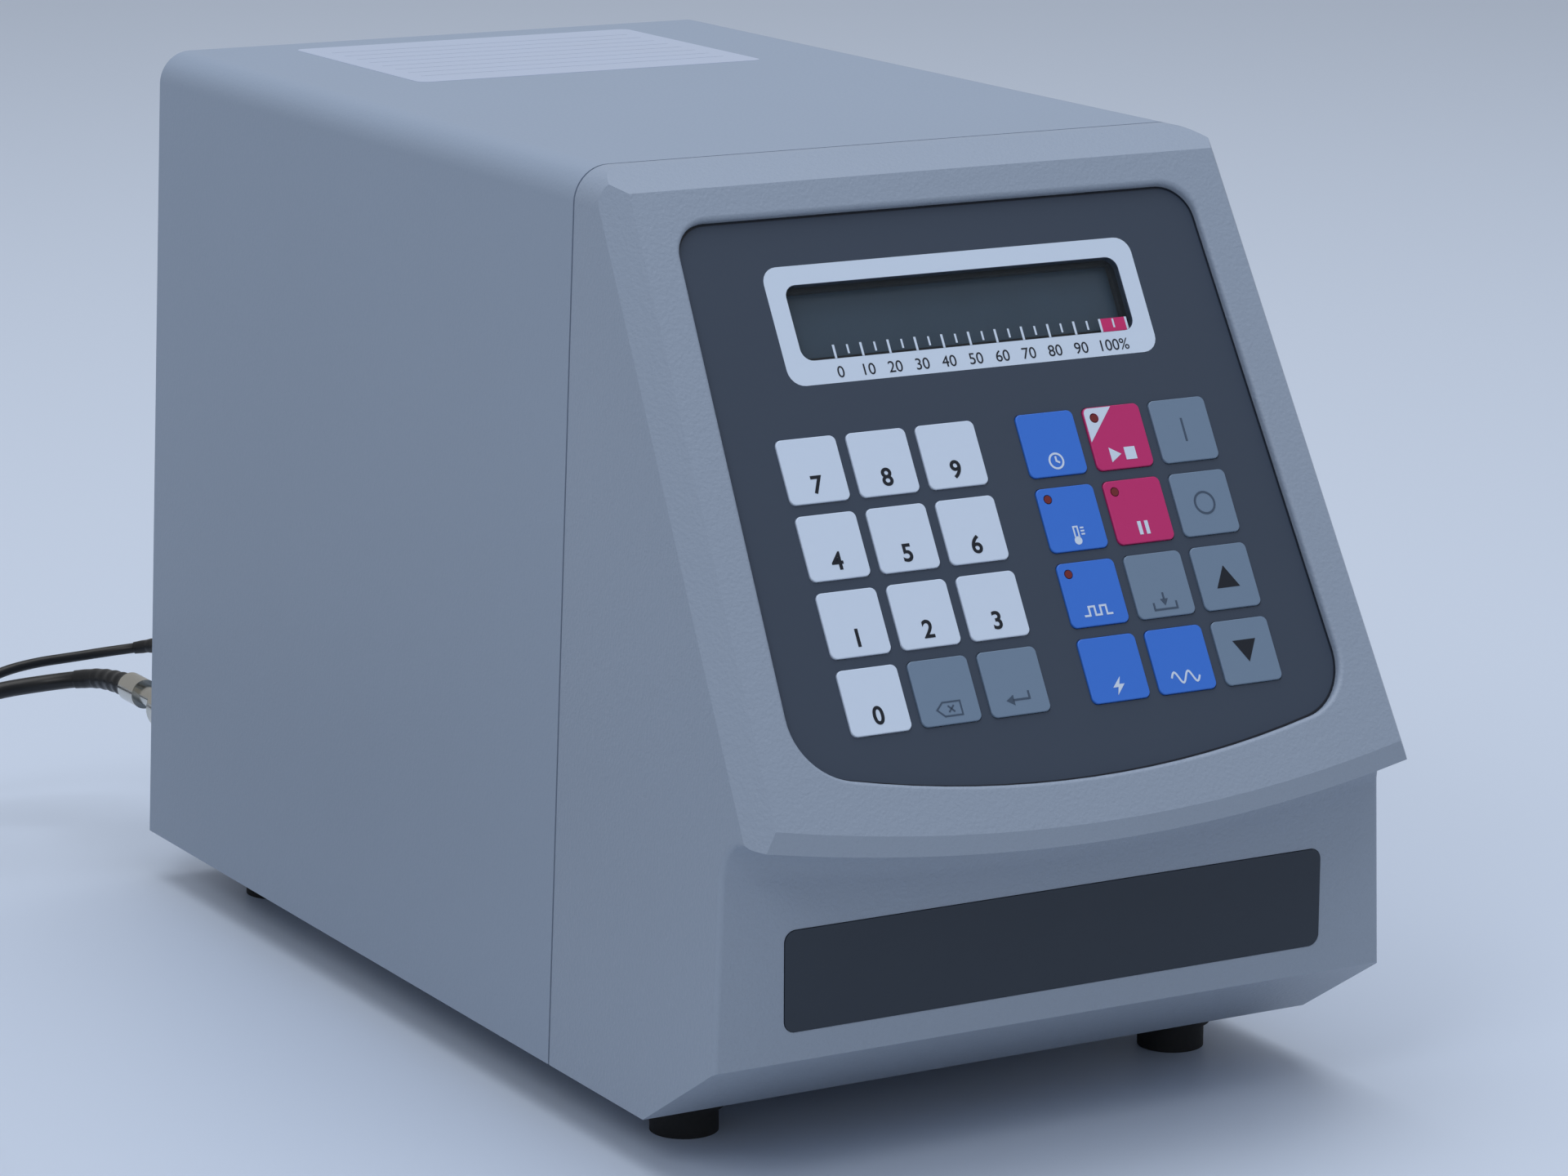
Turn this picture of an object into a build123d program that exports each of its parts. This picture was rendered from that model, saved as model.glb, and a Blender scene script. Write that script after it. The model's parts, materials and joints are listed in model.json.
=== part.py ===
from build123d import *
import os
from math import cos, pi, radians, sin, sqrt, tan

os.makedirs("parts", exist_ok=True)

# A bench-top ultrasonic generator with a sloped keypad, its converter and probe, and a temperature probe.
# Millimetres. +Z is up, the keypad faces -Y, and the origin is on the bench under the middle of the case.

# Case
REAR_STANDOFF = 5.0  # how far sockets and fan guard stand out behind the cover
FOOT_HEIGHT = 13.0
SIDE_LEAN = 2.16  # degrees that each side wall leans in towards the top
COVER_SHEET = 1.5
COVER_BEND = 9.0  # outside radius of the bends along the top
REAR_LIP = 7.0  # width of the cover's turned-in rear edge
SEAM_GAP = 0.7
FIT_GAP = 0.15  # between sheets and mouldings that slide together
TOUCH_GAP = 0.1  # between flat faces that are screwed or glued together

# Front bezel
BEZEL_WALL = 3.5
FACE_SLOPE = 30.5  # degrees of the keypad face from upright
FACE_MARGIN = 11.4  # from the keypad overlay's lowest point to the lip's upper edge
BEVEL_DEPTH = 6.7  # how far the face stands forward of the case's own front edge
BEVEL_WIDTH = 5.0
TOP_BEVEL_RUN = 13.4  # from the face's top edge back to the flat top
TOP_BEVEL_DROP = 4.5  # from the flat top down to the face's top edge
BEZEL_TOP = 4.5  # the flat top's stretch in front of the seam
LIP_BOW = 5.4  # how far the lip bows forward between its ends
LIP_FACE = 4.73  # height of the lip's upright front, at mid width
LIP_RISE = 8.4  # how much higher its lower edge is at the ends
LIP_COVE = 10.0  # radius of the cove under the lip
LOWER_SETBACK = 20.5  # lip's front to the lower front face
SLANT_RUN, SLANT_RISE = 33.0, 20.3  # of the slanted foot edge
EDGE_RADIUS = 1.5
SPIGOT = 5.0  # the bezel's collar inside the cover
SPIGOT_WALL = 1.8
SPIGOT_LOW = 40.0
BOSS_RADIUS = 4.5
BOSS_LOW_WALL = 1.0  # how much thicker the low bosses are
BOSS_LOW_LENGTH = 26.0
BOSS_LOW_INSET = 35.25  # from the case's side
BOSS_HIGH_DROP = 22.0  # below the case's top
BOSS_BITE = 0.6  # how far the upper bosses run into the side wall

# Keypad
KEY_SIZE = 16.2
KEY_SPACING = 2.85  # between neighbouring keys
KEY_CORNER = 1.6
KEY_GAP = 0.15  # around each key in its window
KEY_PROUD = 0.5
KEY_TRAVEL = 0.4
KEY_FLANGE = 0.6  # how far a key's flange reaches under the foil
FLANGE_THICK = 0.4
BLOCK_SPACING = 11.8  # between the two blocks of keys
KEYS_BELOW_WINDOW = 18.95  # from the display window to the first row of keys
KEYPAD_FOOT = 17.35  # from the last row of keys to the overlay's lowest point
OVERLAY_TOP = 8.3
OVERLAY_MARGIN = 15.0  # from the overlay to the case's side
OVERLAY_BOW_RADIUS = 290.0
OVERLAY_TOP_CORNER = 9.0
OVERLAY_BOTTOM_CORNER = 16.0
OVERLAY_SINK = 2.2  # overlay below the face
RECESS_EDGE = 1.2
FOIL = 0.5
KEY_BOARD = 1.6
RECESS_FLOOR_WALL = 2.5
DOME_RADIUS = 5.0
DOME_HEIGHT = 0.4
LED_RADIUS = 1.0
LED_GAP = 0.2
LED_INSET = 2.8  # from a key's upper and left edges

# Display
WINDOW_WIDTH, WINDOW_HEIGHT = 93.4, 19.1
WINDOW_CENTRE = 35.1  # below the top edge of the face
WINDOW_CORNER = 3.0
WINDOW_SINK = 0.4
WINDOW_SHELF = 1.2  # of the board under the pane's edge
DISPLAY_FRAME_WIDTH, DISPLAY_FRAME_HEIGHT = 98.0, 24.0
DISPLAY_BOARD_WIDTH, DISPLAY_BOARD_HEIGHT = 116.0, 37.0
DISPLAY_BOARD = 1.6
DISPLAY_GLASS_SINK = 0.8

# Name plate
PLATE_HEIGHT = 24.6
PLATE_MARGIN = 19.65  # from its ends to the case's sides
PLATE_FOOT = 7.2  # from its lower edge to the slanted foot edge
PLATE_HEAD = 6.9  # from its upper edge to the cove
PLATE_THICK = 1.0
PLATE_SINK = 0.8
PLATE_CORNER = 3.0

# Feet and screws
FOOT_RADIUS, FOOT_TIP_RADIUS = 10.0, 8.5
FOOT_INSET = 24.25  # from the case's side
FRONT_FOOT_BACK = 24.0  # behind the front edge of the bottom
REAR_FOOT_SETBACK = 33.0  # from the cover's rear edge
FOOT_POCKET_RADIUS, FOOT_POCKET_DEPTH = 4.6, 7.0
SCREW_RADIUS = 2.0
SCREW_HEAD_RADIUS = 3.7
SCREW_HEAD = 2.4
SCREW_HOLE_RADIUS = 2.2
TAPPED_RADIUS = 2.05
SCREW_SLOT = 1.0
SCREW_LENGTH = 12.0
RIM_SCREW_INSET = 0.5  # inwards from the middle of the cover's turned-in edge
RIM_SCREW_LOW = 24.0  # above the bench
RIM_SCREW_DROP = 29.0  # of the highest pair, below the case's top
RIM_SCREW_SHIFT = 3.5  # of the middle pair, above the middle of the other two

# Chassis and rear panel
CHASSIS_SHEET = 1.5
PANEL_SHEET = 1.5
SIDE_FLANGE = 18.0
REAR_FLANGE = 13.0
BULKHEAD_SETBACK = 6.0  # behind the seam
BULKHEAD_SIDE = 26.25  # of the bulkhead beside its opening, at the case's bottom edge
BULKHEAD_LOW = 43.0  # the opening's lower edge above the bench
BULKHEAD_DROP = 33.0  # its upper edge below the case's top

# Fan
FAN_SIZE = 80.0
FAN_DEPTH = 25.0
FAN_INSET, FAN_DROP = 67.25, 76.0  # its middle from the case's side and top
FAN_BORE_RADIUS = 38.0
FAN_HOLE_PITCH = 71.5
FAN_HUB_RADIUS = 17.0
FAN_BLADES = 7
FAN_SHAFT_RADIUS = 1.5
FAN_BEARING_GAP = 0.05
FAN_TIP_GAP = 1.0
FAN_CORNER = 4.0
FAN_STRUT = 4.0
FAN_STRUT_ANGLE = 20.0
FAN_ROTOR_DEPTH = 18.0
FAN_ROTOR_GAP = 1.0
FAN_PITCH = 38.0
FAN_BLADE_CHORD, FAN_BLADE_THICK = 19.0, 1.4
GUARD_WIRE_RADIUS = 0.9
GUARD_EYE = 1.6  # thickness of the guard's eyes under the screw heads
GUARD_EYE_RADIUS = 5.0
GUARD_WELD = 0.2
GUARD_RINGS = (14.0, 22.0, 30.0, 38.0)

# Sockets, by place on the rear panel
SOCKET_INSET = 17.25  # from the case's side
CONVERTER_SOCKET_Z, TEMP_SOCKET_Z = 41.6, 60.0
SWITCH_SOCKET_INSET, SWITCH_SOCKET_Z = 53.25, 48.0
SWITCH_BORE_RADIUS, SWITCH_BORE_LENGTH = 3.25, 16.0
CONVERTER_SOCKET_RADIUS, CONVERTER_SOCKET_LENGTH = 5.5, 26.0
JACK_RADIUS, JACK_LENGTH = 5.0, 28.0
SOCKET_NUT = 2.5
INLET_INSET, INLET_Z = 43.25, 44.0
INLET_WIDTH, INLET_HEIGHT = 27.4, 20.4
INLET_FLANGE_WIDTH, INLET_FLANGE_HEIGHT = 50.0, 24.0
INLET_CAVITY_WIDTH, INLET_CAVITY_HEIGHT, INLET_CAVITY_DEPTH = 24.4, 16.4, 16.0
INLET_DEPTH = 22.0
INLET_FLANGE, INLET_CORNER, INLET_HOLE_PITCH = 2.5, 2.5, 40.0
INLET_PIN_THICK, INLET_PIN_WIDTH, INLET_PIN_LENGTH = 2.0, 4.0, 13.0
INLET_PIN_SPREAD, INLET_PIN_RISE = 7.0, 4.0
FUSE_X = 8.0
FUSE_Z = (36.0, 60.0)
FUSE_RADIUS, FUSE_CAP_RADIUS, FUSE_DEPTH = 6.5, 8.0, 30.0
VENT_INSET = 47.25  # from the case's side
VENT_LENGTH, VENT_WIDTH, VENT_PITCH, VENT_COUNT = 46.0, 3.2, 8.0, 9

# Inside
STANDOFF_HEIGHT = 12.0
STANDOFF_RADIUS, STANDOFF_SCREW_RADIUS = 3.2, 1.5
STANDOFF_INSET = 5.0  # from the power board's edges
BOARD_WIDTH, BOARD_LENGTH, BOARD_THICK = 62.0, 176.0, 1.6
BOARD_ROOM = 10.25  # from the case's side to the power board
BOARD_FRONT_ROOM = 9.75  # from the bulkhead to the power board
COIL_RADIUS, COIL_BORE_RADIUS, COIL_HEIGHT = 50.0, 18.0, 46.0
COIL_CORNER = 9.0
COIL_WASHER_RADIUS, COIL_WASHER, COIL_BOLT_RADIUS = 27.0, 2.5, 3.0
COIL_GAP = 7.0  # between the power board and the transformer
COIL_ROOM = 11.25  # from the transformer to the case's other side
COIL_FRONT_ROOM = 5.75  # from the bulkhead to the transformer
SINK_WIDTH, SINK_LENGTH, SINK_HEIGHT = 84.0, 66.0, 58.0
SINK_GAP = 13.0  # between the transformer and the heat sink
FAN_ROOM = 27.05  # between the heat sink and the fan
SINK_FINS, FIN_THICK, SINK_BASE = 11, 2.4, 7.0
# Radius, height and places on the board, then width, length, height and places
CAPACITORS = [
    (12.5, 35.0, [(-14, 62), (14, 62)]),
    (8.0, 25.0, [(-18, 22), (18, 30)]),
    (5.0, 13.0, [(-22, -30), (-8, -30), (6, -30)]),
]
BLOCKS = [
    (38.0, 32.0, 30.0, [(0, -4)]),
    (12.0, 28.0, 16.0, [(22, -32), (22, -64)]),
    (9.0, 40.0, 11.0, [(-24, -56)]),
    (22.0, 26.0, 8.0, [(0, -60)]),
]

# Converter cable and its plug
CABLE_DIAMETER = 5.0
PLUG_PIN_RADIUS, PLUG_PIN_LENGTH = 2.0, 9.0
PLUG_NUT_RADIUS, PLUG_NUT_LENGTH = 7.0, 20.0
PLUG_NECK_RADIUS, PLUG_NECK_LENGTH = 2.9, 17.0
PLUG_SLEEVE_RADIUS, PLUG_SLEEVE_LENGTH = 4.3, 10.5
CABLE_COIL_X, CABLE_COIL_BACK = -205.0, 60.0  # middle of the coil, and its distance behind the case
CABLE_COIL_RADIUS, CABLE_BUNDLE = 27.5, 15.0

# Converter and probe, lying beside the case
CONVERTER_X = -285.0
CONVERTER_BACK = -14.0  # end of its cable gland, measured from the case's rear edge
CONVERTER_RADIUS, CONVERTER_LENGTH, CONVERTER_WALL = 31.75, 150.0, 2.5
GLAND_RADIUS, GLAND_LENGTH = 6.0, 8.0
DRIVER_RADIUS, DRIVER_LENGTH, DRIVER_DEEP = 19.0, 33.0, 40.0
DRIVER_FLANGE = 6.0
HOUSING_END_WALL = 4.0
RETAINER_RING, RETAINER_GAP = 4.0, 1.0
STUD_RADIUS, STUD_LENGTH = 5.0, 16.0
STUD_NUT_RADIUS, STUD_NUT = 7.0, 5.0
SPANNER_HOLE_RADIUS, SPANNER_HOLE_DEPTH = 2.5, 5.0
PIEZO_RADIUS, PIEZO_RING, PIEZO_COUNT, BACK_MASS = 19.0, 6.0, 4, 30.0
PROBE_LENGTH, PROBE_ROOT_RADIUS, PROBE_TIP_RADIUS, PROBE_STEP = 136.0, 15.0, 6.5, 62.0
PROBE_EDGE = 1.0

# Temperature lead, its plug and its probe
LEAD_DIAMETER = 3.0
TEMP_PLUG_RADIUS, TEMP_PLUG_LENGTH = 4.2, 15.0
TEMP_PIN_RADIUS, TEMP_PIN_LENGTH = 1.75, 13.0
LEAD_COIL_X, LEAD_COIL_BACK = -196.0, -6.0
LEAD_COIL_RADIUS, LEAD_BUNDLE = 17.0, 9.0
TEMP_PROBE_X, TEMP_PROBE_BACK = -230.0, -43.0
TEMP_HANDLE_RADIUS, TEMP_HANDLE_LENGTH = 5.0, 50.0
TEMP_SHEATH_RADIUS, TEMP_SHEATH_LENGTH = 1.6, 120.0

# The keypad's layout on the face, down from the face's top edge
SLOPE = radians(FACE_SLOPE)
KEY_PITCH = KEY_SIZE + KEY_SPACING
BLOCK_CENTRE = KEY_PITCH + KEY_SIZE / 2 + BLOCK_SPACING / 2  # middle column of a key block, from mid width
FIRST_ROW = WINDOW_CENTRE + WINDOW_HEIGHT / 2 + KEYS_BELOW_WINDOW + KEY_SIZE / 2
OVERLAY_BOTTOM = FIRST_ROW + 3 * KEY_PITCH + KEY_SIZE / 2 + KEYPAD_FOOT
LAMINATE = FOIL + FLANGE_THICK + KEY_TRAVEL + DOME_HEIGHT + 2 * TOUCH_GAP  # foil and spacer together
FACE_LENGTH = OVERLAY_BOTTOM + FACE_MARGIN
LED_OFFSET = KEY_SIZE / 2 - LED_INSET

# The case's height: what is stacked on the lower front, and the face above it
CHAMFER_HEIGHT = FOOT_HEIGHT + SLANT_RISE
PLATE_MIDDLE = CHAMFER_HEIGHT + PLATE_FOOT + PLATE_HEIGHT / 2
LIP_HEIGHT = PLATE_MIDDLE + PLATE_HEIGHT / 2 + PLATE_HEAD + LIP_COVE
FACE_TOP_HEIGHT = LIP_HEIGHT + LIP_FACE + FACE_LENGTH * cos(SLOPE)
CASE_HEIGHT = FACE_TOP_HEIGHT + TOP_BEVEL_DROP

# The case's depth and its width at the bottom edge: the face, and what stands in the cover
FACE_TOP_SETBACK = FACE_LENGTH * sin(SLOPE)
BEZEL_DEPTH = FACE_TOP_SETBACK + TOP_BEVEL_RUN + BEZEL_TOP
BULKHEAD_DEPTH = BULKHEAD_SETBACK + CHASSIS_SHEET
PANEL_DEPTH = COVER_SHEET + PANEL_SHEET + 2 * TOUCH_GAP
CONTENTS_DEPTH = COIL_FRONT_ROOM + 2 * COIL_RADIUS + SINK_GAP + SINK_LENGTH + FAN_ROOM + FAN_DEPTH
COVER_DEPTH = BULKHEAD_DEPTH + CONTENTS_DEPTH + PANEL_DEPTH
CASE_DEPTH = BEZEL_DEPTH + COVER_DEPTH
CASE_WIDTH = BOARD_ROOM + BOARD_WIDTH + COIL_GAP + 2 * COIL_RADIUS + COIL_ROOM
PLATE_WIDTH = CASE_WIDTH - 2 * PLATE_MARGIN

# Places that follow from the sizes above
Y_LIP = -(CASE_DEPTH + REAR_STANDOFF) / 2
Y_REAR = Y_LIP + CASE_DEPTH
Y_SEAM = Y_REAR - COVER_DEPTH
Y_LOWER = Y_LIP + LOWER_SETBACK
Y_CORNER = Y_LOWER + SLANT_RUN
Y_PANEL = Y_REAR - COVER_SHEET - TOUCH_GAP  # outer face of the rear panel
BULKHEAD_BACK = Y_SEAM + BULKHEAD_DEPTH
LEFT, RIGHT = -CASE_WIDTH / 2, CASE_WIDTH / 2
BOARD_X, BOARD_Y = LEFT + BOARD_ROOM + BOARD_WIDTH / 2, BULKHEAD_BACK + BOARD_FRONT_ROOM + BOARD_LENGTH / 2
COIL_X, COIL_Y = RIGHT - COIL_ROOM - COIL_RADIUS, BULKHEAD_BACK + COIL_FRONT_ROOM + COIL_RADIUS
SINK_X, SINK_Y = COIL_X, COIL_Y + COIL_RADIUS + SINK_GAP + SINK_LENGTH / 2
FAN_X, FAN_Z = RIGHT - FAN_INSET, CASE_HEIGHT - FAN_DROP
VENT_X, VENT_Z = LEFT + VENT_INSET, FAN_Z
CONVERTER_SOCKET_X = TEMP_SOCKET_X = LEFT + SOCKET_INSET
SWITCH_SOCKET_X = LEFT + SWITCH_SOCKET_INSET
INLET_X = RIGHT - INLET_INSET
FACE_NORMAL = Vector(0, -cos(SLOPE), sin(SLOPE))
FACE = Plane(origin=(0, Y_LIP + FACE_TOP_SETBACK, FACE_TOP_HEIGHT), x_dir=(1, 0, 0), z_dir=FACE_NORMAL)
OVERLAY_FACE = FACE.offset(-OVERLAY_SINK)
BOARD_FACE = OVERLAY_FACE.offset(-LAMINATE - TOUCH_GAP)
RECESS_DEPTH = OVERLAY_SINK + LAMINATE + KEY_BOARD + 2 * TOUCH_GAP
CHASSIS_TOP = FOOT_HEIGHT + CHASSIS_SHEET
BOARD_UNDERSIDE = CHASSIS_TOP + STANDOFF_HEIGHT


def half_width(height, inset=0.0):
    """Half the case's width at a height above the bench, less a wall."""
    lean = radians(SIDE_LEAN)
    return CASE_WIDTH / 2 - (height - FOOT_HEIGHT) * tan(lean) - inset / cos(lean)


def case_section(inset, low):
    """The case's cross section, inset on the sides and top, and cut off flat at the height low."""
    high = CASE_HEIGHT - inset
    with BuildSketch() as section:
        with BuildLine():
            Polyline(
                (-half_width(low, inset), low),
                (-half_width(high, inset), high),
                (half_width(high, inset), high),
                (half_width(low, inset), low),
                close=True,
            )
        make_face()
        fillet(section.vertices().group_by(Axis.Y)[-1], max(COVER_BEND - inset, COVER_SHEET))
    return section.sketch


def at_back(y):
    """The upright plane across the case at y. It faces the front, so extruding goes forward."""
    return Plane.XZ.offset(-y)


def face_height(drop, sink=0.0):
    """Height above the bench of a place on the sloped face, drop below the face's top edge."""
    return FACE_TOP_HEIGHT - drop * cos(SLOPE) - sink * sin(SLOPE)


def plane_through(first, second, third, outside):
    """The plane through three points, whose normal points away from the point outside's opposite side."""
    first, second, third, outside = (Vector(*p) for p in (first, second, third, outside))
    normal = (second - first).cross(third - first)
    if normal.dot(outside - first) < 0:
        normal = normal * -1
    return Plane(origin=first, x_dir=second - first, z_dir=normal)


def save(part, name):
    """Label a finished piece and write it as a STEP file of its own."""
    part.label = name
    export_step(part, f"parts/{name}.step")


# Where the keys are: name, column and row in the two blocks of three columns
KEYS = [
    ("key_7", -1, 0, 0), ("key_8", -1, 1, 0), ("key_9", -1, 2, 0),
    ("key_4", -1, 0, 1), ("key_5", -1, 1, 1), ("key_6", -1, 2, 1),
    ("key_1", -1, 0, 2), ("key_2", -1, 1, 2), ("key_3", -1, 2, 2),
    ("key_0", -1, 0, 3), ("key_clear", -1, 1, 3), ("key_enter", -1, 2, 3),
    ("key_timer", 1, 0, 0), ("key_start", 1, 1, 0), ("key_on", 1, 2, 0),
    ("key_temperature", 1, 0, 1), ("key_pause", 1, 1, 1), ("key_off", 1, 2, 1),
    ("key_pulse", 1, 0, 2), ("key_memory", 1, 1, 2), ("key_up", 1, 2, 2),
    ("key_energy", 1, 0, 3), ("key_amplitude", 1, 1, 3), ("key_down", 1, 2, 3),
]
LAMP_KEYS = ("key_start", "key_temperature", "key_pause", "key_pulse")


def key_place(side, column, row):
    """A key's middle on the face, from the face's top edge at mid width."""
    return (side * BLOCK_CENTRE + (column - 1) * KEY_PITCH, -FIRST_ROW - row * KEY_PITCH)


KEY_PLACES = [key_place(side, column, row) for _, side, column, row in KEYS]
LAMP_PLACES = [
    (x - LED_OFFSET, y + LED_OFFSET)
    for (name, *_), (x, y) in zip(KEYS, KEY_PLACES)
    if name in LAMP_KEYS
]


def overlay_outline(grow=0.0):
    """The keypad overlay's outline on the face: leaning sides, a bowed lower edge and round corners."""
    top, low = OVERLAY_TOP - grow, OVERLAY_BOTTOM + grow
    wide_top = half_width(face_height(top)) - OVERLAY_MARGIN + grow
    side = half_width(face_height(low)) - OVERLAY_MARGIN + grow
    sag = OVERLAY_BOW_RADIUS - sqrt(OVERLAY_BOW_RADIUS**2 - side**2)
    with BuildSketch() as outline:
        with BuildLine():
            Polyline((-side, sag - low), (-wide_top, -top), (wide_top, -top), (side, sag - low))
            ThreePointArc((side, sag - low), (0, -low), (-side, sag - low))
        make_face()
        corners = outline.vertices().sort_by(Axis.Y)
        fillet(corners[2:], OVERLAY_TOP_CORNER + grow)
        fillet(outline.vertices().sort_by(Axis.Y)[:2], OVERLAY_BOTTOM_CORNER + grow)
    return outline.sketch


# Screw places that several pieces share
RIM_INSET = COVER_SHEET + REAR_LIP / 2 + RIM_SCREW_INSET
RIM_SCREW_HIGH = CASE_HEIGHT - RIM_SCREW_DROP
RIM_HEIGHTS = (RIM_SCREW_LOW, (RIM_SCREW_LOW + RIM_SCREW_HIGH) / 2 + RIM_SCREW_SHIFT, RIM_SCREW_HIGH)
RIM_SCREWS = [(side * half_width(z, RIM_INSET), z) for z in RIM_HEIGHTS for side in (-1, 1)]
BOSS_LOW_X, BOSS_LOW_Z = CASE_WIDTH / 2 - BOSS_LOW_INSET, FOOT_HEIGHT + BEZEL_WALL + BOSS_RADIUS
BOSS_HIGH_Z = CASE_HEIGHT - BOSS_HIGH_DROP
BOSS_HIGH_X = half_width(BOSS_HIGH_Z, BEZEL_WALL + BOSS_RADIUS - BOSS_BITE)
BOSSES = [
    (side * x, z)
    for x, z in ((BOSS_LOW_X, BOSS_LOW_Z), (BOSS_HIGH_X, BOSS_HIGH_Z))
    for side in (-1, 1)
]
FOOT_SIDE = CASE_WIDTH / 2 - FOOT_INSET
FRONT_FEET = [(side * FOOT_SIDE, Y_CORNER + FRONT_FOOT_BACK) for side in (-1, 1)]
REAR_FEET = [(side * FOOT_SIDE, Y_REAR - REAR_FOOT_SETBACK) for side in (-1, 1)]
STANDOFFS = [
    (BOARD_X + dx * (BOARD_WIDTH / 2 - STANDOFF_INSET), BOARD_Y + dy * (BOARD_LENGTH / 2 - STANDOFF_INSET))
    for dx in (-1, 1)
    for dy in (-1, 0, 1)
]

# Cover: one sheet bent over the top and both sides, with a turned-in rear edge
with BuildPart() as top_cover:
    with BuildSketch(at_back(Y_REAR)):
        add(case_section(0, FOOT_HEIGHT))
        add(case_section(COVER_SHEET, FOOT_HEIGHT - COVER_SHEET), mode=Mode.SUBTRACT)
    extrude(amount=COVER_DEPTH - SEAM_GAP)
    with BuildSketch(at_back(Y_REAR)):
        add(case_section(COVER_SHEET / 2, FOOT_HEIGHT))
        add(case_section(COVER_SHEET + REAR_LIP, FOOT_HEIGHT - COVER_SHEET), mode=Mode.SUBTRACT)
    extrude(amount=COVER_SHEET)
    with BuildSketch(at_back(Y_REAR)):
        with Locations(*RIM_SCREWS):
            Circle(SCREW_HOLE_RADIUS)
    extrude(amount=COVER_SHEET, mode=Mode.SUBTRACT)
save(top_cover.part, "top_cover")

# Space inside the bezel, up to the keypad recess's back wall
BACK_OF_FACE = FACE.offset(-RECESS_DEPTH - RECESS_FLOOR_WALL)


def back_of_face_y(height):
    """Where the back of the face wall is at a height."""
    return BACK_OF_FACE.origin.Y - (BACK_OF_FACE.origin.Z - height) * tan(SLOPE)


cavity_top = CASE_HEIGHT - BEZEL_WALL
cavity_step = LIP_HEIGHT + LIP_RISE + BEZEL_WALL
with BuildPart() as bezel_cavity:
    with BuildSketch(at_back(Y_SEAM + SPIGOT)):
        add(case_section(BEZEL_WALL, FOOT_HEIGHT + BEZEL_WALL))
    extrude(amount=CASE_DEPTH)
    with BuildSketch(Plane.YZ):
        with BuildLine():
            Polyline(
                (Y_SEAM + SPIGOT, FOOT_HEIGHT + BEZEL_WALL),
                (Y_SEAM + SPIGOT, cavity_top),
                (back_of_face_y(cavity_top), cavity_top),
                (back_of_face_y(cavity_step), cavity_step),
                (Y_LOWER + BEZEL_WALL, cavity_step),
                (Y_LOWER + BEZEL_WALL, CHAMFER_HEIGHT + BEZEL_WALL / 2),
                (Y_CORNER + BEZEL_WALL / 2, FOOT_HEIGHT + BEZEL_WALL),
                close=True,
            )
        make_face()
    extrude(amount=CASE_WIDTH, both=True, mode=Mode.INTERSECT)


def side_bevel(side):
    """The plane that takes the corner off between a side wall and the sloped face."""
    edge = FACE.offset(-BEVEL_DEPTH)

    def on(plane, drop, inset):
        place = plane.from_local_coords(Vector(0, -drop, 0))
        return (side * half_width(place.Z, inset), place.Y, place.Z)

    far = (side * CASE_WIDTH, Y_LIP, FACE_TOP_HEIGHT)
    return plane_through(on(edge, 0, 0), on(edge, OVERLAY_BOTTOM, 0), on(FACE, 0, BEVEL_WIDTH), far)


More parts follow.
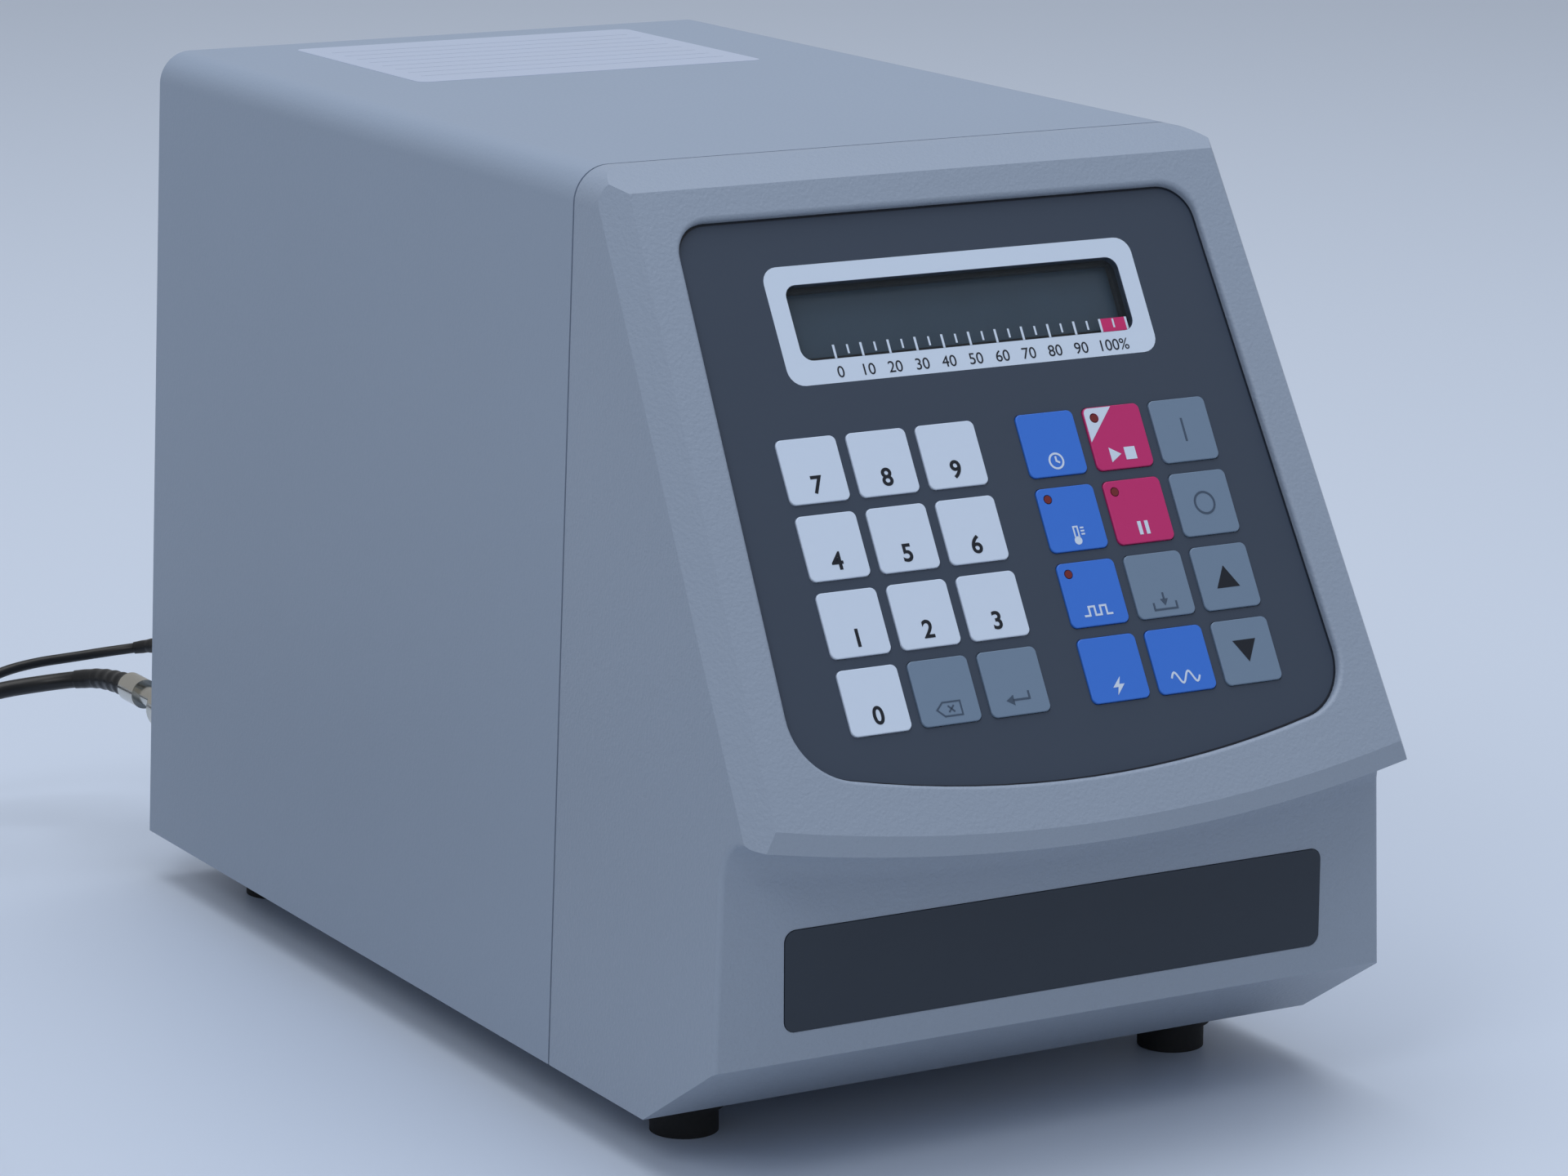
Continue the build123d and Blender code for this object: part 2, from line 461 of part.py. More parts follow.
with BuildPart() as front_bezel:
    with BuildSketch(at_back(Y_SEAM)):
        add(case_section(0, FOOT_HEIGHT))
    extrude(amount=Y_SEAM - Y_LIP)
    split(bisect_by=FACE, keep=Keep.BOTTOM)
    for side in (-1, 1):
        split(bisect_by=side_bevel(side), keep=Keep.BOTTOM)
    top_edge = (0, Y_LIP + FACE_TOP_SETBACK, FACE_TOP_HEIGHT)
    bevel_start = (0, top_edge[1] + TOP_BEVEL_RUN, CASE_HEIGHT)
    beside = (CASE_WIDTH, top_edge[1], FACE_TOP_HEIGHT)
    split(bisect_by=plane_through(top_edge, bevel_start, beside, (0, Y_LIP, CASE_HEIGHT)), keep=Keep.BOTTOM)
    # The lip's front is an arc in plan
    wide = CASE_WIDTH / 2
    with BuildSketch(Plane.XY.offset(FOOT_HEIGHT)):
        with BuildLine():
            ThreePointArc((-wide, Y_LIP + LIP_BOW), (0, Y_LIP), (wide, Y_LIP + LIP_BOW))
            Polyline((wide, Y_LIP + LIP_BOW), (wide, Y_LIP - 1), (-wide, Y_LIP - 1), (-wide, Y_LIP + LIP_BOW))
        make_face()
    extrude(amount=CASE_HEIGHT, mode=Mode.SUBTRACT)
    # Everything in front of the lower face and under the bowed lip goes
    with BuildSketch(at_back(Y_LOWER)):
        with BuildLine():
            ThreePointArc((-wide, LIP_HEIGHT + LIP_RISE), (0, LIP_HEIGHT), (wide, LIP_HEIGHT + LIP_RISE))
            Polyline((wide, LIP_HEIGHT + LIP_RISE), (wide, 0), (-wide, 0), (-wide, LIP_HEIGHT + LIP_RISE))
        make_face()
    extrude(amount=CASE_DEPTH, mode=Mode.SUBTRACT)
    # The slanted edge above the bench
    slant_top, slant_foot = (0, Y_LOWER, CHAMFER_HEIGHT), (0, Y_CORNER, FOOT_HEIGHT)
    beside = (wide, Y_LOWER, CHAMFER_HEIGHT)
    split(bisect_by=plane_through(slant_top, slant_foot, beside, (0, Y_LIP, FOOT_HEIGHT)), keep=Keep.BOTTOM)
    lower_edges = front_bezel.edges().filter_by(lambda e: abs(e.center().Y - Y_LOWER) < 0.01)
    fillet(lower_edges.filter_by(GeomType.CIRCLE), LIP_COVE)
    lower_edges = front_bezel.edges().filter_by(lambda e: abs(e.center().Y - Y_LOWER) < 0.01)
    fillet(lower_edges.filter_by(lambda e: abs(e.center().X) > wide - 6), EDGE_RADIUS)
    add(bezel_cavity.part, mode=Mode.SUBTRACT)
    # Collar that locates the cover
    with BuildSketch(at_back(Y_SEAM + SPIGOT)):
        add(case_section(COVER_SHEET + FIT_GAP, SPIGOT_LOW))
        add(case_section(COVER_SHEET + FIT_GAP + SPIGOT_WALL, SPIGOT_LOW - 1), mode=Mode.SUBTRACT)
    extrude(amount=SPIGOT + BEZEL_WALL)
    # Recess for the keypad, with the display's opening in its floor
    with BuildSketch(FACE):
        add(overlay_outline(FIT_GAP))
    extrude(amount=-RECESS_DEPTH, mode=Mode.SUBTRACT)
    with BuildSketch(FACE):
        with Locations((0, -WINDOW_CENTRE)):
            Rectangle(DISPLAY_FRAME_WIDTH + 2 * FIT_GAP, DISPLAY_FRAME_HEIGHT + 2 * FIT_GAP)
    extrude(amount=-2 * RECESS_DEPTH - RECESS_FLOOR_WALL, mode=Mode.SUBTRACT)

    def on_rim(vertex):
        place = FACE.to_local_coords(vertex.center())
        beside = abs(vertex.X) < half_width(vertex.Z) - OVERLAY_MARGIN / 2
        return abs(place.Z) < 0.01 and beside and -OVERLAY_BOTTOM - 1 < place.Y < -OVERLAY_TOP + 1

    fillet(front_bezel.edges().filter_by(lambda e: all(on_rim(v) for v in e.vertices())), RECESS_EDGE)
    # Bosses that take the bulkhead's screws, the upper ones long enough to join the face wall
    with BuildSketch(at_back(Y_SEAM + BULKHEAD_SETBACK - TOUCH_GAP)):
        with Locations(*BOSSES[:2]):
            Circle(BOSS_RADIUS + BOSS_LOW_WALL)
    extrude(amount=BULKHEAD_SETBACK + BOSS_LOW_LENGTH)
    with BuildSketch(at_back(Y_SEAM + BULKHEAD_SETBACK - TOUCH_GAP)):
        with Locations(*BOSSES[2:]):
            Circle(BOSS_RADIUS)
    extrude(amount=Y_SEAM + BULKHEAD_SETBACK - back_of_face_y(BOSS_HIGH_Z - BOSS_RADIUS))
    with BuildSketch(at_back(Y_SEAM + BULKHEAD_SETBACK)):
        with Locations(*BOSSES):
            Circle(TAPPED_RADIUS)
    extrude(amount=SCREW_LENGTH, mode=Mode.SUBTRACT)
    # Recess for the name plate
    with BuildSketch(at_back(Y_LOWER)):
        with Locations((0, PLATE_MIDDLE)):
            RectangleRounded(PLATE_WIDTH + 2 * FIT_GAP, PLATE_HEIGHT + 2 * FIT_GAP, PLATE_CORNER)
    extrude(amount=-PLATE_SINK, mode=Mode.SUBTRACT)
    with BuildSketch(Plane.XY.offset(FOOT_HEIGHT)):
        with Locations(*FRONT_FEET):
            Circle(SCREW_HOLE_RADIUS)
    extrude(amount=BEZEL_WALL, mode=Mode.SUBTRACT)
save(front_bezel.part, "front_bezel")

# Keypad: a printed foil on a spacer, with a window for each key and one for the display
with BuildPart() as keypad_overlay:
    with BuildSketch(OVERLAY_FACE):
        add(overlay_outline())
    extrude(amount=-LAMINATE)
    with BuildSketch(OVERLAY_FACE):
        with Locations(*KEY_PLACES):
            RectangleRounded(KEY_SIZE + 2 * KEY_GAP, KEY_SIZE + 2 * KEY_GAP, KEY_CORNER)
        with Locations((0, -WINDOW_CENTRE)):
            RectangleRounded(WINDOW_WIDTH, WINDOW_HEIGHT, WINDOW_CORNER)
    extrude(amount=-LAMINATE, mode=Mode.SUBTRACT)
    pocket = KEY_SIZE + 2 * (KEY_FLANGE + 2 * KEY_GAP)
    with BuildSketch(OVERLAY_FACE.offset(-FOIL)):
        with Locations(*KEY_PLACES):
            RectangleRounded(pocket, pocket, KEY_CORNER)
    extrude(amount=FOIL - LAMINATE, mode=Mode.SUBTRACT)
save(keypad_overlay.part, "keypad_overlay")

# Keys: each a cap that comes up through its window, with a flange that the foil holds down
for (name, *_), place in zip(KEYS, KEY_PLACES):
    flange = KEY_SIZE + 2 * KEY_FLANGE
    with BuildPart() as key:
        with BuildSketch(OVERLAY_FACE.offset(KEY_PROUD)):
            with Locations(place):
                RectangleRounded(KEY_SIZE, KEY_SIZE, KEY_CORNER)
        extrude(amount=-KEY_PROUD - FOIL - TOUCH_GAP - FLANGE_THICK)
        top = key.faces().filter_by(lambda f: f.normal_at().dot(FACE_NORMAL) > 0.99)
        fillet(top.edges(), KEY_PROUD / 2)
        with BuildSketch(OVERLAY_FACE.offset(-FOIL - TOUCH_GAP)):
            with Locations(place):
                RectangleRounded(flange, flange, KEY_CORNER)
        extrude(amount=-FLANGE_THICK)
        if name in LAMP_KEYS:
            with BuildSketch(OVERLAY_FACE.offset(KEY_PROUD)):
                with Locations((place[0] - LED_OFFSET, place[1] + LED_OFFSET)):
                    Circle(LED_RADIUS + LED_GAP)
            extrude(amount=-LAMINATE, mode=Mode.SUBTRACT)
    save(key.part, name)

# Keypad board on the recess's floor, under the spacer
with BuildPart() as keypad_board:
    with BuildSketch(BOARD_FACE):
        add(overlay_outline(-2 * FIT_GAP))
        with Locations((0, -WINDOW_CENTRE)):
            shelf = 2 * WINDOW_SHELF
            Rectangle(WINDOW_WIDTH - shelf, WINDOW_HEIGHT - shelf, mode=Mode.SUBTRACT)
    extrude(amount=-KEY_BOARD)
save(keypad_board.part, "keypad_board")

# A snap dome under each key
with BuildPart() as key_domes:
    with BuildSketch(BOARD_FACE):
        with Locations(*KEY_PLACES):
            Circle(DOME_RADIUS)
    extrude(amount=DOME_HEIGHT, taper=60)
save(key_domes.part, "key_domes")

# Status lamps, standing on the board in the corner of four keys
with BuildPart() as status_lamps:
    with BuildSketch(BOARD_FACE):
        with Locations(*LAMP_PLACES):
            Circle(LED_RADIUS)
    extrude(amount=LAMINATE + TOUCH_GAP + KEY_PROUD)
save(status_lamps.part, "status_lamps")

# Clear pane in the foil's display window, resting on the board's shelf
with BuildPart() as display_window:
    with BuildSketch(OVERLAY_FACE.offset(-WINDOW_SINK)):
        with Locations((0, -WINDOW_CENTRE)):
            pane = 2 * FIT_GAP
            RectangleRounded(WINDOW_WIDTH - pane, WINDOW_HEIGHT - pane, WINDOW_CORNER - FIT_GAP)
    extrude(amount=WINDOW_SINK - LAMINATE)
save(display_window.part, "display_window")

# Display module: a framed glass through the bezel's wall, on a board behind it
DISPLAY_FACE = BOARD_FACE.offset(-KEY_BOARD - TOUCH_GAP)
DISPLAY_SEAT = FACE.offset(-RECESS_DEPTH - RECESS_FLOOR_WALL - TOUCH_GAP)
with BuildPart() as display_module:
    with BuildSketch(DISPLAY_SEAT):
        with Locations((0, -WINDOW_CENTRE)):
            Rectangle(DISPLAY_BOARD_WIDTH, DISPLAY_BOARD_HEIGHT)
    extrude(amount=-DISPLAY_BOARD)
    with BuildSketch(DISPLAY_SEAT):
        with Locations((0, -WINDOW_CENTRE)):
            Rectangle(DISPLAY_FRAME_WIDTH, DISPLAY_FRAME_HEIGHT)
    extrude(amount=RECESS_FLOOR_WALL + TOUCH_GAP)
    with BuildSketch(DISPLAY_FACE):
        with Locations((0, -WINDOW_CENTRE)):
            Rectangle(WINDOW_WIDTH, WINDOW_HEIGHT)
    extrude(amount=-DISPLAY_GLASS_SINK, mode=Mode.SUBTRACT)
save(display_module.part, "display_module")

# Bare name plate in its recess
with BuildPart() as name_plate:
    with BuildSketch(at_back(Y_LOWER + PLATE_SINK)):
        with Locations((0, PLATE_MIDDLE)):
            RectangleRounded(PLATE_WIDTH, PLATE_HEIGHT, PLATE_CORNER - FIT_GAP)
    extrude(amount=PLATE_THICK)
save(name_plate.part, "name_plate")

# Rubber feet, each with a pocket for its screw's head
with BuildPart() as rubber_feet:
    with BuildSketch(Plane.XY):
        with Locations(*FRONT_FEET, *REAR_FEET):
            Circle(FOOT_TIP_RADIUS)
    extrude(amount=FOOT_HEIGHT / 2)
    with BuildSketch(Plane.XY.offset(FOOT_HEIGHT / 2)):
        with Locations(*FRONT_FEET, *REAR_FEET):
            Circle(FOOT_RADIUS)
    extrude(amount=FOOT_HEIGHT / 2)
    with Locations(*[(x, y, 0) for x, y in FRONT_FEET + REAR_FEET]):
        Cylinder(FOOT_POCKET_RADIUS, FOOT_POCKET_DEPTH, align=(Align.CENTER, Align.CENTER, Align.MIN),
                 mode=Mode.SUBTRACT)
        Cylinder(SCREW_HOLE_RADIUS, FOOT_HEIGHT, align=(Align.CENTER, Align.CENTER, Align.MIN),
                 mode=Mode.SUBTRACT)
save(rubber_feet.part, "rubber_feet")

# Base chassis: a pan with side walls, a bulkhead behind the bezel and an upstand inside the rear panel
UPSTAND_BACK = Y_PANEL - PANEL_SHEET - TOUCH_GAP
with BuildPart() as base_chassis:
    with BuildSketch(at_back(Y_PANEL)):
        with Locations((0, FOOT_HEIGHT)):
            pan = 2 * half_width(FOOT_HEIGHT, COVER_SHEET + 2 * FIT_GAP)
            Rectangle(pan, CHASSIS_SHEET, align=(Align.CENTER, Align.MIN))
    extrude(amount=Y_PANEL - Y_SEAM - SEAM_GAP)
    with BuildSketch(at_back(UPSTAND_BACK)):
        add(case_section(COVER_SHEET + FIT_GAP, CHASSIS_TOP))
        inner = COVER_SHEET + FIT_GAP + CHASSIS_SHEET
        add(case_section(inner, FOOT_HEIGHT), mode=Mode.SUBTRACT)
        with Locations((0, CHASSIS_TOP + SIDE_FLANGE)):
            Rectangle(CASE_WIDTH, CASE_HEIGHT, align=(Align.CENTER, Align.MIN), mode=Mode.SUBTRACT)
    extrude(amount=UPSTAND_BACK - BULKHEAD_BACK)
    with BuildSketch(at_back(BULKHEAD_BACK)):
        add(case_section(COVER_SHEET + FIT_GAP, FOOT_HEIGHT + CHASSIS_SHEET / 2))
        opening_width = CASE_WIDTH - 2 * BULKHEAD_SIDE
        opening_height = CASE_HEIGHT - BULKHEAD_DROP - BULKHEAD_LOW
        with Locations((0, BULKHEAD_LOW + opening_height / 2)):
            RectangleRounded(opening_width, opening_height, COVER_BEND, mode=Mode.SUBTRACT)
        with Locations(*BOSSES):
            Circle(SCREW_HOLE_RADIUS, mode=Mode.SUBTRACT)
    extrude(amount=CHASSIS_SHEET)
    with BuildSketch(at_back(UPSTAND_BACK)):
        with Locations((0, FOOT_HEIGHT + CHASSIS_SHEET / 2)):
            upstand = 2 * half_width(CHASSIS_TOP + REAR_FLANGE, COVER_SHEET + 2 * FIT_GAP)
            Rectangle(upstand, CHASSIS_SHEET / 2 + REAR_FLANGE, align=(Align.CENTER, Align.MIN))
        with Locations(*RIM_SCREWS[:2]):
            Circle(TAPPED_RADIUS, mode=Mode.SUBTRACT)
    extrude(amount=CHASSIS_SHEET)
    with BuildSketch(Plane.XY.offset(FOOT_HEIGHT)):
        with Locations(*REAR_FEET):
            Circle(SCREW_HOLE_RADIUS)
        with Locations((COIL_X, COIL_Y)):
            Circle(COIL_BOLT_RADIUS + FIT_GAP)
    extrude(amount=CHASSIS_SHEET, mode=Mode.SUBTRACT)
save(base_chassis.part, "base_chassis")

# Rear panel: a plate inside the cover's rear edge, cut out for the fan, the sockets and the air
FAN_HOLE = FAN_HOLE_PITCH / 2
FAN_HOLES = [(FAN_X + dx * FAN_HOLE, FAN_Z + dz * FAN_HOLE) for dx in (-1, 1) for dz in (-1, 1)]
INLET_HOLES = [(INLET_X + dx * INLET_HOLE_PITCH / 2, INLET_Z) for dx in (-1, 1)]
FUSES = [(FUSE_X, z) for z in FUSE_Z]
with BuildPart() as rear_panel:
    with BuildSketch(at_back(Y_PANEL)):
        add(case_section(COVER_SHEET + FIT_GAP, CHASSIS_TOP + FIT_GAP))
        with Locations(*RIM_SCREWS):
            Circle(TAPPED_RADIUS, mode=Mode.SUBTRACT)
        with Locations((FAN_X, FAN_Z)):
            Circle(FAN_BORE_RADIUS, mode=Mode.SUBTRACT)
        with Locations(*FAN_HOLES, *INLET_HOLES):
            Circle(SCREW_HOLE_RADIUS, mode=Mode.SUBTRACT)
        with Locations((INLET_X, INLET_Z)):
            inlet_hole = (INLET_WIDTH + 2 * FIT_GAP, INLET_HEIGHT + 2 * FIT_GAP)
            RectangleRounded(*inlet_hole, INLET_CORNER, mode=Mode.SUBTRACT)
        with Locations(*FUSES):
            Circle(FUSE_RADIUS + FIT_GAP, mode=Mode.SUBTRACT)
        with Locations((CONVERTER_SOCKET_X, CONVERTER_SOCKET_Z)):
            Circle(CONVERTER_SOCKET_RADIUS + FIT_GAP, mode=Mode.SUBTRACT)
        with Locations((TEMP_SOCKET_X, TEMP_SOCKET_Z), (SWITCH_SOCKET_X, SWITCH_SOCKET_Z)):
            Circle(JACK_RADIUS + FIT_GAP, mode=Mode.SUBTRACT)
        with Locations((VENT_X, VENT_Z)):
            with GridLocations(0, VENT_PITCH, 1, VENT_COUNT):
                SlotOverall(VENT_LENGTH, VENT_WIDTH, mode=Mode.SUBTRACT)
    extrude(amount=PANEL_SHEET)
save(rear_panel.part, "rear_panel")

# Screws, each set with the plane under its heads: the shafts go forwards, or upwards through the feet
SCREW_SETS = [
    (at_back(Y_REAR + TOUCH_GAP), RIM_SCREWS),
    (at_back(BULKHEAD_BACK + TOUCH_GAP), BOSSES),
    (at_back(Y_PANEL + GUARD_EYE + 2 * TOUCH_GAP), FAN_HOLES),
    (at_back(Y_PANEL + INLET_FLANGE + 2 * TOUCH_GAP), INLET_HOLES),
    (Plane.XY.offset(FOOT_POCKET_DEPTH - TOUCH_GAP), FRONT_FEET + REAR_FEET),
]
with BuildPart() as case_screws:
    for seat, places in SCREW_SETS:
        with BuildSketch(seat):
            with Locations(*places):
                Circle(SCREW_HEAD_RADIUS)
        extrude(amount=-SCREW_HEAD)
        with BuildSketch(seat):
            with Locations(*places):
                Circle(SCREW_RADIUS)
        extrude(amount=SCREW_LENGTH)
        with BuildSketch(seat.offset(-SCREW_HEAD)):
            with Locations(*places):
                Rectangle(SCREW_HEAD_RADIUS, SCREW_SLOT)
                Rectangle(SCREW_SLOT, SCREW_HEAD_RADIUS)
        extrude(amount=SCREW_HEAD / 2, mode=Mode.SUBTRACT)
save(case_screws.part, "case_screws")

# Mains inlet: a shrouded socket with three flat pins
with BuildPart() as mains_inlet:
    with BuildSketch(at_back(Y_PANEL + TOUCH_GAP)):
        with Locations((INLET_X, INLET_Z)):
            RectangleRounded(INLET_FLANGE_WIDTH, INLET_FLANGE_HEIGHT, INLET_CORNER)
        with Locations(*INLET_HOLES):
            Circle(SCREW_HOLE_RADIUS, mode=Mode.SUBTRACT)
    extrude(amount=-INLET_FLANGE)
    with BuildSketch(at_back(Y_PANEL + TOUCH_GAP)):
        with Locations((INLET_X, INLET_Z)):
            RectangleRounded(INLET_WIDTH, INLET_HEIGHT, INLET_CORNER)
    extrude(amount=INLET_DEPTH)
    with BuildSketch(at_back(Y_PANEL + TOUCH_GAP + INLET_FLANGE)):
        with Locations((INLET_X, INLET_Z)):
            RectangleRounded(INLET_CAVITY_WIDTH, INLET_CAVITY_HEIGHT, INLET_CORNER)
    extrude(amount=INLET_CAVITY_DEPTH, mode=Mode.SUBTRACT)
    pins = ((0, INLET_PIN_RISE), (-INLET_PIN_SPREAD, 0), (INLET_PIN_SPREAD, 0))
    with BuildSketch(at_back(Y_PANEL + TOUCH_GAP + INLET_FLANGE - INLET_CAVITY_DEPTH)):
        with Locations(*[(INLET_X + dx, INLET_Z + dz) for dx, dz in pins]):
            Rectangle(INLET_PIN_THICK, INLET_PIN_WIDTH)
    extrude(amount=-INLET_PIN_LENGTH)
save(mains_inlet.part, "mains_inlet")

# Fuse holders, each with a slotted cap
with BuildPart() as fuse_holders:
    with BuildSketch(at_back(Y_PANEL + TOUCH_GAP)):
        with Locations(*FUSES):
            Circle(FUSE_RADIUS)
    extrude(amount=FUSE_DEPTH)
    with BuildSketch(at_back(Y_PANEL + TOUCH_GAP)):
        with Locations(*FUSES):
            Circle(FUSE_CAP_RADIUS)
    extrude(amount=Y_PANEL + TOUCH_GAP - Y_REAR - REAR_STANDOFF)
    cap_rims = fuse_holders.faces().sort_by(Axis.Y)[-len(FUSES):].edges()
    fillet(cap_rims, SCREW_SLOT)
    with BuildSketch(at_back(Y_REAR + REAR_STANDOFF)):
        with Locations(*FUSES):
            Rectangle(FUSE_CAP_RADIUS, SCREW_SLOT)
    extrude(amount=SCREW_HEAD / 2, mode=Mode.SUBTRACT)
save(fuse_holders.part, "fuse_holders")

# Output socket for the converter: a threaded barrel with a nut on the panel and a bore for the plug's pin
with BuildPart() as converter_socket:
    with BuildSketch(at_back(Y_REAR + REAR_STANDOFF)):
        with Locations((CONVERTER_SOCKET_X, CONVERTER_SOCKET_Z)):
            Circle(CONVERTER_SOCKET_RADIUS)
    extrude(amount=CONVERTER_SOCKET_LENGTH)
    with BuildSketch(at_back(Y_PANEL + TOUCH_GAP)):
        with Locations((CONVERTER_SOCKET_X, CONVERTER_SOCKET_Z)):
            RegularPolygon(PLUG_NUT_RADIUS, 6)
    extrude(amount=-SOCKET_NUT)
    with BuildSketch(at_back(Y_REAR + REAR_STANDOFF)):
        with Locations((CONVERTER_SOCKET_X, CONVERTER_SOCKET_Z)):
            Circle(PLUG_PIN_RADIUS + FIT_GAP)
    extrude(amount=PLUG_PIN_LENGTH + FIT_GAP, mode=Mode.SUBTRACT)
save(converter_socket.part, "converter_socket")

# Jacks for the temperature probe and for a footswitch
JACKS = [
    (TEMP_SOCKET_X, TEMP_SOCKET_Z, TEMP_PIN_RADIUS + FIT_GAP, TEMP_PIN_LENGTH + FIT_GAP),
    (SWITCH_SOCKET_X, SWITCH_SOCKET_Z, SWITCH_BORE_RADIUS, SWITCH_BORE_LENGTH),
]
with BuildPart() as accessory_sockets:
    for jack_x, jack_z, bore_radius, bore_length in JACKS:
        with BuildSketch(at_back(Y_REAR + REAR_STANDOFF)):
            with Locations((jack_x, jack_z)):
                Circle(JACK_RADIUS)
        extrude(amount=JACK_LENGTH)
        with BuildSketch(at_back(Y_PANEL + TOUCH_GAP)):
            with Locations((jack_x, jack_z)):
                RegularPolygon(JACK_RADIUS + SOCKET_NUT / 2, 6)
        extrude(amount=-SOCKET_NUT)
        with BuildSketch(at_back(Y_REAR + REAR_STANDOFF)):
            with Locations((jack_x, jack_z)):
                Circle(bore_radius)
        extrude(amount=bore_length, mode=Mode.SUBTRACT)
save(accessory_sockets.part, "accessory_sockets")

# Fan frame inside the rear panel: a square duct with four struts, the motor's base and the shaft
FAN_BACK = Y_PANEL - PANEL_SHEET - TOUCH_GAP
FAN_FRONT = FAN_BACK - FAN_DEPTH
with BuildPart() as fan_frame:
    with BuildSketch(at_back(FAN_BACK)):
        with Locations((FAN_X, FAN_Z)):
            RectangleRounded(FAN_SIZE, FAN_SIZE, FAN_CORNER)
            Circle(FAN_BORE_RADIUS, mode=Mode.SUBTRACT)
        with Locations(*FAN_HOLES):
            Circle(TAPPED_RADIUS, mode=Mode.SUBTRACT)
    extrude(amount=FAN_DEPTH)
    with BuildSketch(at_back(FAN_FRONT + FAN_STRUT)):
        with Locations((FAN_X, FAN_Z)):
            Circle(FAN_HUB_RADIUS)
            with PolarLocations(0, 2, start_angle=FAN_STRUT_ANGLE, angular_range=180):
                Rectangle(2 * FAN_BORE_RADIUS + FAN_STRUT, FAN_STRUT)
    extrude(amount=FAN_STRUT)
    with BuildSketch(at_back(FAN_FRONT + FAN_STRUT)):
        with Locations((FAN_X, FAN_Z)):
            Circle(FAN_SHAFT_RADIUS)
    extrude(amount=-FAN_ROTOR_DEPTH - FAN_ROTOR_GAP)
save(fan_frame.part, "fan_frame")

# Fan rotor: a hub on the shaft with pitched blades
with BuildPart() as fan_rotor:
    rotor_front = FAN_FRONT + FAN_STRUT + FAN_ROTOR_GAP
    rotor_middle = Vector(FAN_X, rotor_front + FAN_ROTOR_DEPTH / 2, FAN_Z)
    for blade in range(FAN_BLADES):
        angle, pitch = radians(360 * blade / FAN_BLADES), radians(FAN_PITCH)
        outwards, around = Vector(cos(angle), 0, sin(angle)), Vector(-sin(angle), 0, cos(angle))
        across = Vector(0, cos(pitch), 0) + around * sin(pitch)
        with BuildSketch(Plane(origin=rotor_middle, x_dir=outwards, z_dir=across)):
            with Locations((FAN_HUB_RADIUS / 2, 0)):
                Rectangle(FAN_BORE_RADIUS, FAN_BLADE_CHORD, align=(Align.MIN, Align.CENTER))
        extrude(amount=FAN_BLADE_THICK / 2, both=True)
    with BuildSketch(at_back(rotor_front + FAN_ROTOR_DEPTH)):
        with Locations((FAN_X, FAN_Z)):
            Circle(FAN_BORE_RADIUS - FAN_TIP_GAP)
    extrude(amount=FAN_ROTOR_DEPTH, mode=Mode.INTERSECT)
    with BuildSketch(at_back(rotor_front + FAN_ROTOR_DEPTH)):
        with Locations((FAN_X, FAN_Z)):
            Circle(FAN_HUB_RADIUS)
    extrude(amount=FAN_ROTOR_DEPTH)
    with BuildSketch(at_back(rotor_front + FAN_ROTOR_DEPTH)):
        with Locations((FAN_X, FAN_Z)):
            Circle(FAN_SHAFT_RADIUS + FAN_BEARING_GAP)
    extrude(amount=FAN_ROTOR_DEPTH, mode=Mode.SUBTRACT)
save(fan_rotor.part, "fan_rotor")

# Wire guard over the fan's hole: rings on two crossed wires that end in eyes under the fan's screws
with BuildPart() as fan_guard:
    wire_y = Y_PANEL + TOUCH_GAP + GUARD_WELD + GUARD_WIRE_RADIUS
    for angle in (45, 135):
        reach = FAN_HOLE_PITCH / sqrt(2) - SCREW_HEAD_RADIUS - GUARD_WELD
        lie = Vector(cos(radians(angle)), 0, sin(radians(angle)))
        with BuildSketch(Plane(origin=Vector(FAN_X, wire_y, FAN_Z) - lie * reach, z_dir=lie)):
            Circle(GUARD_WIRE_RADIUS)
        extrude(amount=2 * reach)
    with BuildSketch(at_back(Y_PANEL + TOUCH_GAP + GUARD_EYE)):
        with Locations(*FAN_HOLES):
            Circle(GUARD_EYE_RADIUS)
    extrude(amount=GUARD_EYE)
    ring_y = wire_y + 2 * GUARD_WIRE_RADIUS - GUARD_WELD
    for ring in GUARD_RINGS:
        with Locations(Plane(origin=(FAN_X, ring_y, FAN_Z), z_dir=(0, 1, 0))):
            Torus(ring, GUARD_WIRE_RADIUS)
    with BuildSketch(at_back(Y_PANEL + TOUCH_GAP + GUARD_EYE)):
        with Locations(*FAN_HOLES):
            Circle(SCREW_HOLE_RADIUS)
    extrude(amount=GUARD_EYE, mode=Mode.SUBTRACT)
save(fan_guard.part, "fan_guard")

# Mains transformer: a ring of windings, held down by a washer and a bolt
COIL_BASE = CHASSIS_TOP + TOUCH_GAP
with BuildPart() as power_transformer:
    with BuildSketch(Plane.XZ.offset(-COIL_Y)):
        with Locations((COIL_X + (COIL_RADIUS + COIL_BORE_RADIUS) / 2, COIL_BASE + COIL_HEIGHT / 2)):
            RectangleRounded(COIL_RADIUS - COIL_BORE_RADIUS, COIL_HEIGHT, COIL_CORNER)
    revolve(axis=Axis((COIL_X, COIL_Y, 0), (0, 0, 1)))
    with Locations((COIL_X, COIL_Y, COIL_BASE + COIL_HEIGHT + TOUCH_GAP)):
        Cylinder(COIL_WASHER_RADIUS, COIL_WASHER, align=(Align.CENTER, Align.CENTER, Align.MIN))
    with Locations((COIL_X, COIL_Y, FOOT_HEIGHT)):
        bolt_length = COIL_BASE + COIL_HEIGHT + TOUCH_GAP + 2 * COIL_WASHER - FOOT_HEIGHT
        Cylinder(COIL_BOLT_RADIUS, bolt_length, align=(Align.CENTER, Align.CENTER, Align.MIN))
save(power_transformer.part, "power_transformer")

